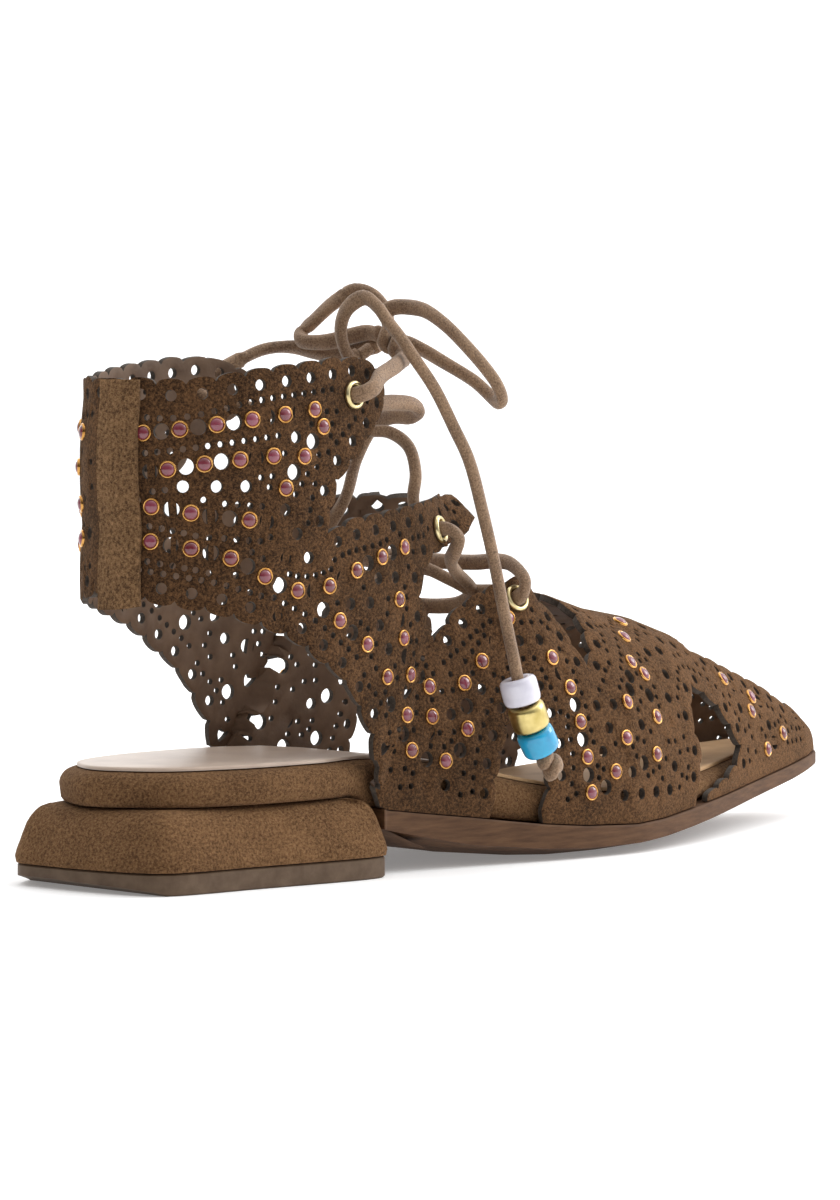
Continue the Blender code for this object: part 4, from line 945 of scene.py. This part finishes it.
rim_faces = np.stack([rims[:, 1], rims[:, 0], rims[:, 0] + 2 * size, rims[:, 1] + 2 * size], -1)
used = np.zeros(len(points), bool)
used[np.unique(np.concatenate([outer_faces.ravel(), inner_faces.ravel()]))] = True
renumber = np.cumsum(used) - 1
all_faces = renumber[outer_faces].tolist() + renumber[inner_faces].tolist() + renumber[rim_faces].tolist()
face_finish = np.repeat([0, 1, 2], [len(outer_faces), len(inner_faces), len(rim_faces)])

# The upper's suede has painted light: it is paler towards the toe by a share of 0.1.
upper_suede = suede("upper_suede", (0.021, 0.0095, 0.0042, 1.0), (0.180, 0.088, 0.038, 1.0), 1.5, 0.9, 0.1)
upper_lining = Finish("upper_lining", Roughness=0.62)
lining_place = upper_lining.millimetres()
lining_mottle = upper_lining.noise(lining_place, 0.12, 4.0, 0.6)
upper_lining.tinted(lining_mottle, 0.3, 0.7, (0.100, 0.055, 0.030, 1.0), (0.180, 0.108, 0.063, 1.0))
upper_lining.feed("Normal", upper_lining.bump(upper_lining.noise(lining_place, 1.6, 4.0, 0.6), 0.12, 0.5))
cut_edge = Finish("cut_edge", Roughness=0.9)
cut_place = cut_edge.millimetres()
cut_mottle = cut_edge.noise(cut_place, 1.5, 4.0, 0.7)
cut_edge.tinted(cut_mottle, 0.3, 0.7, (0.030, 0.022, 0.016, 1.0), (0.085, 0.064, 0.048, 1.0))
cut_edge.feed("Normal", cut_edge.bump(cut_edge.noise(cut_place, 2.4, 3.0, 0.7), 0.2, 0.8))
upper_finishes = [upper_suede, upper_lining, cut_edge]
made = piece("upper_punched", points[used], all_faces, upper_finishes, face_finish, smooth_to=50.0)
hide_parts("upper")


# Studs: a domed glass stone of a garnet's colour in a thin gold-coloured rim. Each is pressed through the
# suede from outside, along the rows between the large holes, on both sides of the shoe.
STUD_SEGMENTS = 16
# Rim's profile and the stone's dome: radius, height above the suede
RIM_PROFILE = ((2.05, -0.1), (2.05, 0.3), (1.92, 0.5), (1.7, 0.54), (1.52, 0.28))
STONE_PROFILE = ((1.58, 0.22), (1.45, 0.58), (1.05, 0.86), (0.5, 1.0), (0.02, 1.03))


def turned(places, normals, profile, segments):
    """Profile turned about each normal: rings by segments at every place, as points and quads."""
    profile = np.asarray(profile)
    first = np.cross(normals, np.array([0.13, 0.29, 0.95]))
    first /= np.linalg.norm(first, axis=1)[:, None]
    second = np.cross(normals, first)
    turn = 2 * np.pi * np.arange(segments) / segments
    out = np.cos(turn)[None, :, None] * first[:, None] + np.sin(turn)[None, :, None] * second[:, None]
    points = (places[:, None, None] + out[:, None] * profile[None, :, None, :1]
              + normals[:, None, None] * profile[None, :, None, 1:2])
    quads = grid_faces(len(profile), segments, True)
    offsets = np.arange(len(places)) * len(profile) * segments
    return points.reshape(-1, 3), (quads[None] + offsets[:, None, None]).reshape(-1, 4)


gold = Finish("stud_gold", Roughness=0.22, Metallic=1.0)
gold_mottle = gold.noise(gold.millimetres(), 0.4, 3.0)
gold.tinted(gold_mottle, 0.3, 0.7, (0.42, 0.20, 0.05, 1.0), (0.70, 0.38, 0.12, 1.0))
stone = Finish("garnet_glass", Roughness=0.1, IOR=1.6, Coat_Weight=0.4, Coat_Roughness=0.03)
stone_clouds = stone.noise(stone.millimetres(), 0.15, 2.0)
stone.tinted(stone_clouds, 0.35, 0.65, (0.13, 0.014, 0.020, 1.0), (0.24, 0.045, 0.075, 1.0))


def on_both_sides(net):
    """Places and normals of net places on the outer side, then on the inner side."""
    outer, inner = (skin_frame(net[:, 0], net[:, 1], side)[:2] for side in (-1, 1))
    return np.vstack([outer[0], inner[0]]), np.vstack([outer[1], inner[1]])


stud_places, stud_normals = on_both_sides(kept_net[kept_kind == "stud"])
rim_points, rim_quads = turned(stud_places, stud_normals, RIM_PROFILE, STUD_SEGMENTS)
made = piece("stud_rims", rim_points, rim_quads, [gold], smooth_to=80.0)
stone_points, stone_quads = turned(stud_places, stud_normals, STONE_PROFILE, STUD_SEGMENTS)
made = piece("stud_stones", stone_points, stone_quads, [stone], smooth_to=80.0)


# Eyelets: pale brass tubes with a rolled flange, three a side, set through the upper at the ends of the
# cuff, the quarter and the vamp, where the lace passes.
# Profile: radius, height above the suede
EYELET_PROFILE = ((2.2, -2.0), (2.2, 0.5), (2.35, 1.0), (2.7, 1.25), (3.15, 1.1), (3.4, 0.6), (3.3, 0.1))
EYELET_SEGMENTS = 40
eyelet_brass = Finish("eyelet_brass", Roughness=0.28, Metallic=1.0)
brass_mottle = eyelet_brass.noise(eyelet_brass.millimetres(), 0.5, 3.0)
eyelet_brass.tinted(brass_mottle, 0.3, 0.7, (0.62, 0.50, 0.24, 1.0), (0.80, 0.69, 0.40, 1.0))
eyelet_places, eyelet_normals = on_both_sides(at_side([row[1:] for row in EYELETS]))
eyelet_points, eyelet_quads = turned(eyelet_places, eyelet_normals, EYELET_PROFILE, EYELET_SEGMENTS)
made = piece("eyelets_rolled", eyelet_points, eyelet_quads, [eyelet_brass], smooth_to=60.0)
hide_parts(*[f"eyelet_{row[0]}_{word}" for row in EYELETS for word in ("outer", "inner")])


# Back strip: a strap of coarser, paler suede laid over the cuff's back seam and glued to it. It stands off
# the cuff by its own thickness and is left plain, with no holes.
# Bounds: angles on the outer side and past the back line, stations at the foot and at the top
STRIP_NEAR = 161.0
STRIP_FAR = 181.0
STRIP_LOW = 23.0
STRIP_HIGH = -5.0
STRIP_THICK = 1.2
STRIP_ROWS = 60
STRIP_COLUMNS = 40
rows = np.linspace(STRIP_HIGH, STRIP_LOW, STRIP_ROWS)
columns = np.linspace(STRIP_NEAR, STRIP_FAR, STRIP_COLUMNS)
row_s, column_a = (v.ravel() for v in np.meshgrid(rows, columns, indexing="ij"))
far_half = column_a > 180.0
strip_side = np.where(far_half, 1.0, -1.0)
place, normal, _, _ = skin_frame(row_s, np.where(far_half, 360.0 - column_a, column_a), strip_side)
strip_top = place + normal * (GAP + STRIP_THICK)
strip_under = place + normal * GAP
strip_points = np.vstack([strip_top, strip_under])
strip_quads = grid_faces(STRIP_ROWS, STRIP_COLUMNS, False)
number = np.arange(STRIP_ROWS * STRIP_COLUMNS).reshape(STRIP_ROWS, STRIP_COLUMNS)
border = np.concatenate([number[0, :-1], number[:-1, -1], number[-1, :0:-1], number[:0:-1, 0]])
after = np.roll(border, -1)
total = STRIP_ROWS * STRIP_COLUMNS
strip_faces = strip_quads.tolist() + (strip_quads[:, ::-1] + total).tolist()
strip_faces += np.stack([after, border, border + total, after + total], -1).tolist()
strip_suede = suede("strip_suede", (0.050, 0.025, 0.011, 1.0), (0.300, 0.168, 0.080, 1.0), 1.2, 1.2)
made = piece("back_strip_sewn", strip_points, strip_faces, [strip_suede], smooth_to=50.0)
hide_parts("back_strip")


# Lace: one waxed suede cord, a little flattened, with a fine knit grain. Its two halves run down from the
# knot through the eyelets, cross over the instep and meet under the vamp's front pair.
LACE_WIDTH = 3.9
LACE_THICK = 2.9
LACE_SIDES = 14
LACE_SQUARENESS = 0.8
LACE_END_SHARE = 0.82
FLAT_WAY = (0.6, -0.5, 0.3)
LACE_LIGHT = (0.390, 0.245, 0.140, 1.0)
LACE_DARK = (0.115, 0.062, 0.032, 1.0)
# Halves from the knot to the front, x, y, z: before, between and after the eyelets that each passes
NEAR_RUN = (
    ((89.8, -13.5, 122.6), (88.4, -16.0, 121.6), (84.6, -18.8, 121.0), (76.0, -25.0, 119.6),
     (67.4, -29.2, 117.4)),
    ((81.8, -12.3, 110.9), (91.2, -10.3, 111.0), (97.6, -9.7, 110.5), (100.8, -8.6, 109.2),
     (102.2, -4.4, 107.5), (101.9, 1.6, 107.4), (101.8, 7.4, 105.4), (99.0, 11.0, 97.0), (96.0, 11.6, 88.0)),
    ((99.2, 21.8, 75.6), (102.2, 17.4, 72.8), (106.5, 6.0, 71.4), (109.2, -2.9, 70.2), (112.6, -7.4, 67.6),
     (116.5, -11.5, 64.8)),
    ((118.6, -22.6, 71.6), (119.4, -17.0, 72.2), (120.4, -9.0, 71.6), (120.6, 0.0, 71.4)),
)
FAR_RUN = (
    ((92.9, -3.2, 124.8), (91.2, 3.2, 123.4), (90.0, 10.7, 122.3), (88.4, 15.1, 123.1), (86.2, 20.2, 124.3),
     (81.2, 24.8, 123.8), (74.4, 28.0, 120.6), (67.4, 30.0, 117.0)),
    ((75.0, 9.0, 107.4), (87.8, -4.1, 104.2), (91.6, -7.9, 103.8), (93.8, -12.2, 100.4),
     (94.4, -14.0, 94.0), (94.2, -13.4, 88.0)),
    ((99.2, -22.6, 75.6), (102.0, -18.4, 72.8), (107.0, -15.2, 70.0), (116.5, -11.5, 64.8),
     (121.0, -2.0, 61.0), (119.6, 10.0, 60.4)),
    ((118.6, 22.0, 71.6), (119.4, 16.4, 72.2), (120.4, 8.4, 71.6), (120.6, 0.0, 71.4)),
)
# A lace on its way in through an eyelet: height over the skin, and reach towards where it comes from or
# where it goes
PASS_LIFTS = (4.1, 3.0, 1.0, -1.6, -3.6, -4.9)
PASS_REACH = (3.2, 0.8, 0.0, 0.0, 0.8, 3.2)


def lace_mesh(path):
    """Flattened tube: round each point of the path a squarish ellipse, wide across the flat way."""
    path = np.asarray(path, float)
    ahead = np.gradient(path, axis=0)
    ahead /= np.linalg.norm(ahead, axis=1)[:, None]
    across = np.cross(ahead, np.broadcast_to(np.asarray(FLAT_WAY), ahead.shape))
    weak = np.linalg.norm(across, axis=1) < 0.25
    for k in range(1, len(across)):
        if weak[k] or across[k] @ across[k - 1] < 0:
            carried = across[k - 1] - ahead[k] * (ahead[k] @ across[k - 1])
            across[k] = carried if weak[k] else -across[k]
        across[k] /= np.linalg.norm(across[k])
    across[0] /= np.linalg.norm(across[0])
    up = np.cross(ahead, across)
    turn = 2 * np.pi * np.arange(LACE_SIDES) / LACE_SIDES
    side = power(np.cos(turn), LACE_SQUARENESS)
    rise = power(np.sin(turn), LACE_SQUARENESS)
    taper = np.ones(len(path))
    taper[[0, -1]] = LACE_END_SHARE
    ring = (across[:, None] * (side * LACE_WIDTH / 2)[None, :, None]
            + up[:, None] * (rise * LACE_THICK / 2)[None, :, None]) * taper[:, None, None]
    points = (path[:, None] + ring).reshape(-1, 3)
    faces = [tuple(f) for f in grid_faces(len(path), LACE_SIDES, True)]
    last = (len(path) - 1) * LACE_SIDES
    faces.append(tuple(range(LACE_SIDES))[::-1])
    faces.append(tuple(range(last, last + LACE_SIDES)))
    return points, faces


def through(label, side, outside, inside_):
    """Points that a lace passes on its way in through an eyelet, from an outer place to an inner one."""
    row = next(row for row in EYELETS if row[0] == label)
    net_place = at_side([row[1:]])
    here, normal = (v[0] for v in skin_frame(net_place[:, 0], net_place[:, 1], side)[:2])
    lifts, reaches = np.array(PASS_LIFTS)[:, None], np.array(PASS_REACH)[:, None]
    towards = np.where(lifts > 0, outside, inside_) - here
    towards -= normal * (towards @ normal)[:, None]
    return here + normal * lifts + towards / np.linalg.norm(towards, axis=1)[:, None] * reaches


def lace_run(side, run):
    """One half of the lace: in at the top eyelet, out at the middle one across, and out at the front one."""
    to_top, behind_top, to_front, over_front = run
    return np.vstack([
        to_top, through("top", side, to_top[-1], behind_top[0]), behind_top,
        through("middle", -side, to_front[0], behind_top[-1])[::-1], to_front,
        through("front", side, over_front[0], to_front[-1])[::-1], over_front])


def joined(meshes):
    """Several point and face lists as one."""
    starts = np.cumsum([0] + [len(points) for points, _ in meshes])
    faces = [tuple(k + start for k in face) for (_, found), start in zip(meshes, starts) for face in found]
    return np.vstack([points for points, _ in meshes]), faces


lace = Finish("waxed_lace", Roughness=0.7, Sheen_Weight=0.15, Sheen_Roughness=0.5)
lace_place = lace.millimetres()
lace_nap = lace.noise(lace_place, 2.4, 3.0, 0.65)
lace_tone = lace.noise(lace_place, 0.12, 2.0, 0.5)
lace_share = lace.spread(lace_nap * 0.85 + lace_tone * 0.35, 0.42, 0.78)
lace.feed("Base Color", lace.mix(lace_share, LACE_DARK, LACE_LIGHT))
lace.feed("Normal", lace.bump(lace_nap + lace.noise(lace_place, 1.1, 2.0) * 0.6, 0.3, 0.8))

halves = [lace_mesh(spline(lace_run(side, run), 6)) for side, run in ((-1, NEAR_RUN), (1, FAR_RUN))]
made = piece("lace_threaded", *joined(halves), [lace], smooth_to=60.0)
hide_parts("lace_bars")


# Bow's knot: the lace wrapped round itself over the cuff's front, where the two loops come out.
# Two ends of the line that it is wound round, x, y, z
KNOT = ((90.6, -13.6, 122.8), (91.4, -4.6, 128.4))
KNOT_TURNS = 2.4
KNOT_RADIUS = 1.7


def wound(start, end, radius, turns):
    """Path wound round a straight line: a helix whose radius shrinks to nothing at both its ends."""
    start, end = np.asarray(start, float), np.asarray(end, float)
    way = (end - start) / np.linalg.norm(end - start)
    first = np.cross(way, (0.35, 0.2, 0.9))
    first /= np.linalg.norm(first)
    share = np.linspace(0.0, 1.0, 40)[:, None]
    turn = 2 * np.pi * turns * share
    out = radius * np.minimum(1.0, 6.0 * np.minimum(share, 1.0 - share))
    return start + (end - start) * share + out * (np.cos(turn) * first + np.sin(turn) * np.cross(way, first))


knot_path = wound(*KNOT, KNOT_RADIUS, KNOT_TURNS)
made = piece("lace_knot_wrapped", *lace_mesh(knot_path), [lace], smooth_to=60.0)
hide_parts("lace_knot")


# Beads: an opal glass barrel, a matt gold one and a blue glass one, threaded over the hanging end of the
# lace. A knot in the lace under them keeps them on.
# Hanging end from the knot: up over its arch, then down the outer side, x, y, z
HANGING_END = (
    (88.6, -4.9, 124.4), (86.4, -3.0, 122.4), (83.6, -2.4, 122.0), (80.9, -2.9, 125.0), (78.5, -4.7, 129.6),
    (78.3, -7.3, 133.7), (79.6, -11.5, 136.1), (80.4, -15.2, 133.9), (81.4, -17.8, 130.3),
    (82.0, -21.9, 126.0), (83.4, -24.6, 121.7), (87.2, -27.6, 114.5), (91.0, -30.1, 105.5),
    (93.8, -32.5, 97.6), (96.7, -34.2, 85.4), (98.4, -36.4, 73.5), (99.4, -39.0, 60.5),
    (100.2, -41.7, 48.6), (101.0, -42.6, 42.7), (103.5, -43.0, 36.5), (106.7, -43.0, 30.6),
    (108.6, -43.3, 27.9),
)
# Beads from the top one down: node, x, y, z of its middle
BEADS = (("bead_white", (101.0, -42.6, 42.7)), ("bead_gold", (103.5, -43.0, 36.5)),
         ("bead_blue", (106.7, -43.0, 30.6)))
# A bead's profile: radius, height along the lace
BEAD_PROFILE = (
    (1.7, -2.9), (2.5, -3.2), (3.4, -3.25), (4.05, -3.0), (4.42, -2.45), (4.55, -1.6),
    (4.55, 1.6), (4.42, 2.45), (4.05, 3.0), (3.4, 3.25), (2.5, 3.2), (1.7, 2.9),
)
BEAD_SEGMENTS = 48
# Bead: slot, dark and light colour, roughness, metal, clear coat
BEAD_LOOKS = {
    "bead_white": ("white_bead", (0.64, 0.62, 0.72, 1.0), (0.80, 0.78, 0.86, 1.0), 0.16, 0.0, 0.6),
    "bead_gold": ("gold_bead", (0.52, 0.40, 0.13, 1.0), (0.78, 0.64, 0.28, 1.0), 0.30, 1.0, 0.1),
    "bead_blue": ("blue_bead", (0.008, 0.27, 0.52, 1.0), (0.020, 0.42, 0.70, 1.0), 0.18, 0.0, 0.6),
}


# End knot: its two ends, x, y, z
END_KNOT = ((109.2, -43.4, 26.9), (111.8, -43.8, 22.4))
END_KNOT_RADIUS = 1.5
END_KNOT_TURNS = 1.6

thread = np.array([HANGING_END[-5]] + [place for _, place in BEADS] + [END_KNOT[0]], float)
bead_ways = thread[2:] - thread[:-2]
bead_ways /= np.linalg.norm(bead_ways, axis=1)[:, None]
for (name, place), way in zip(BEADS, bead_ways):
    slot, dark, light, roughness, metallic, coat = BEAD_LOOKS[name]
    glaze = Finish(slot, Roughness=roughness, Metallic=metallic, Coat_Weight=coat, Coat_Roughness=0.08)
    glaze_place = glaze.millimetres()
    glaze.tinted(glaze.noise(glaze_place, 0.25, 3.0), 0.3, 0.7, dark, light)
    glaze.feed("Normal", glaze.bump(glaze.noise(glaze_place, 0.9, 2.0), 0.10, 0.35))
    points, quads = turned(np.array([place]), way[None], BEAD_PROFILE, BEAD_SEGMENTS)
    lower_end = np.arange(BEAD_SEGMENTS)
    upper_end = lower_end + (len(BEAD_PROFILE) - 1) * BEAD_SEGMENTS
    bore = np.stack([np.roll(lower_end, -1), lower_end, upper_end, np.roll(upper_end, -1)], -1)
    made = piece(name + "_glazed", points, np.vstack([quads, bore]), [glaze], smooth_to=60.0)
    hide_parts(name)
end_path = wound(*END_KNOT, END_KNOT_RADIUS, END_KNOT_TURNS)
made = piece("end_knot_tied", *lace_mesh(end_path), [lace], smooth_to=60.0)
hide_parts("end_knot")


# Bow and hanging end: the lace's free lengths, drawn as tubes along listed paths in the shape in which they
# hang. Each loop leaves the knot, folds over at its outer end and comes back into the knot.
FRONT_LOOP = (
    (90.2, -6.6, 132.4), (91.2, -9.6, 133.8), (92.4, -13.2, 133.9), (92.6, -19.0, 133.0),
    (93.3, -25.1, 129.6), (94.2, -30.7, 125.0), (95.5, -36.6, 119.1), (96.6, -39.2, 115.3),
    (98.4, -38.8, 112.6), (100.5, -35.6, 111.4), (101.5, -32.3, 112.6), (100.6, -27.8, 116.1),
    (97.3, -20.6, 120.7), (95.6, -14.8, 123.8), (94.0, -10.9, 125.6), (91.6, -8.4, 126.0),
)
BACK_LOOP = (
    (94.4, -4.4, 129.3), (97.3, -1.6, 131.6), (98.4, 0.6, 133.8), (96.5, 2.7, 137.0), (94.3, 6.4, 138.0),
    (91.4, 10.7, 135.3), (88.4, 15.1, 130.6), (86.4, 17.2, 127.8), (84.4, 15.4, 125.9), (86.0, 10.5, 125.4),
    (87.5, 6.5, 126.0), (89.2, 2.0, 127.2), (90.6, -2.0, 127.8), (91.2, -6.2, 126.8),
)
FREE_CORDS = (("lace_loop_front", FRONT_LOOP, "object"), ("lace_loop_back", BACK_LOOP, "object"),
              ("lace_end", HANGING_END, "knot"))
for name, path, far_end in FREE_CORDS:
    smooth_path = spline(path, 5)
    made = piece(name + "_cord", *lace_mesh(smooth_path), [lace], smooth_to=60.0)
    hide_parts(name)
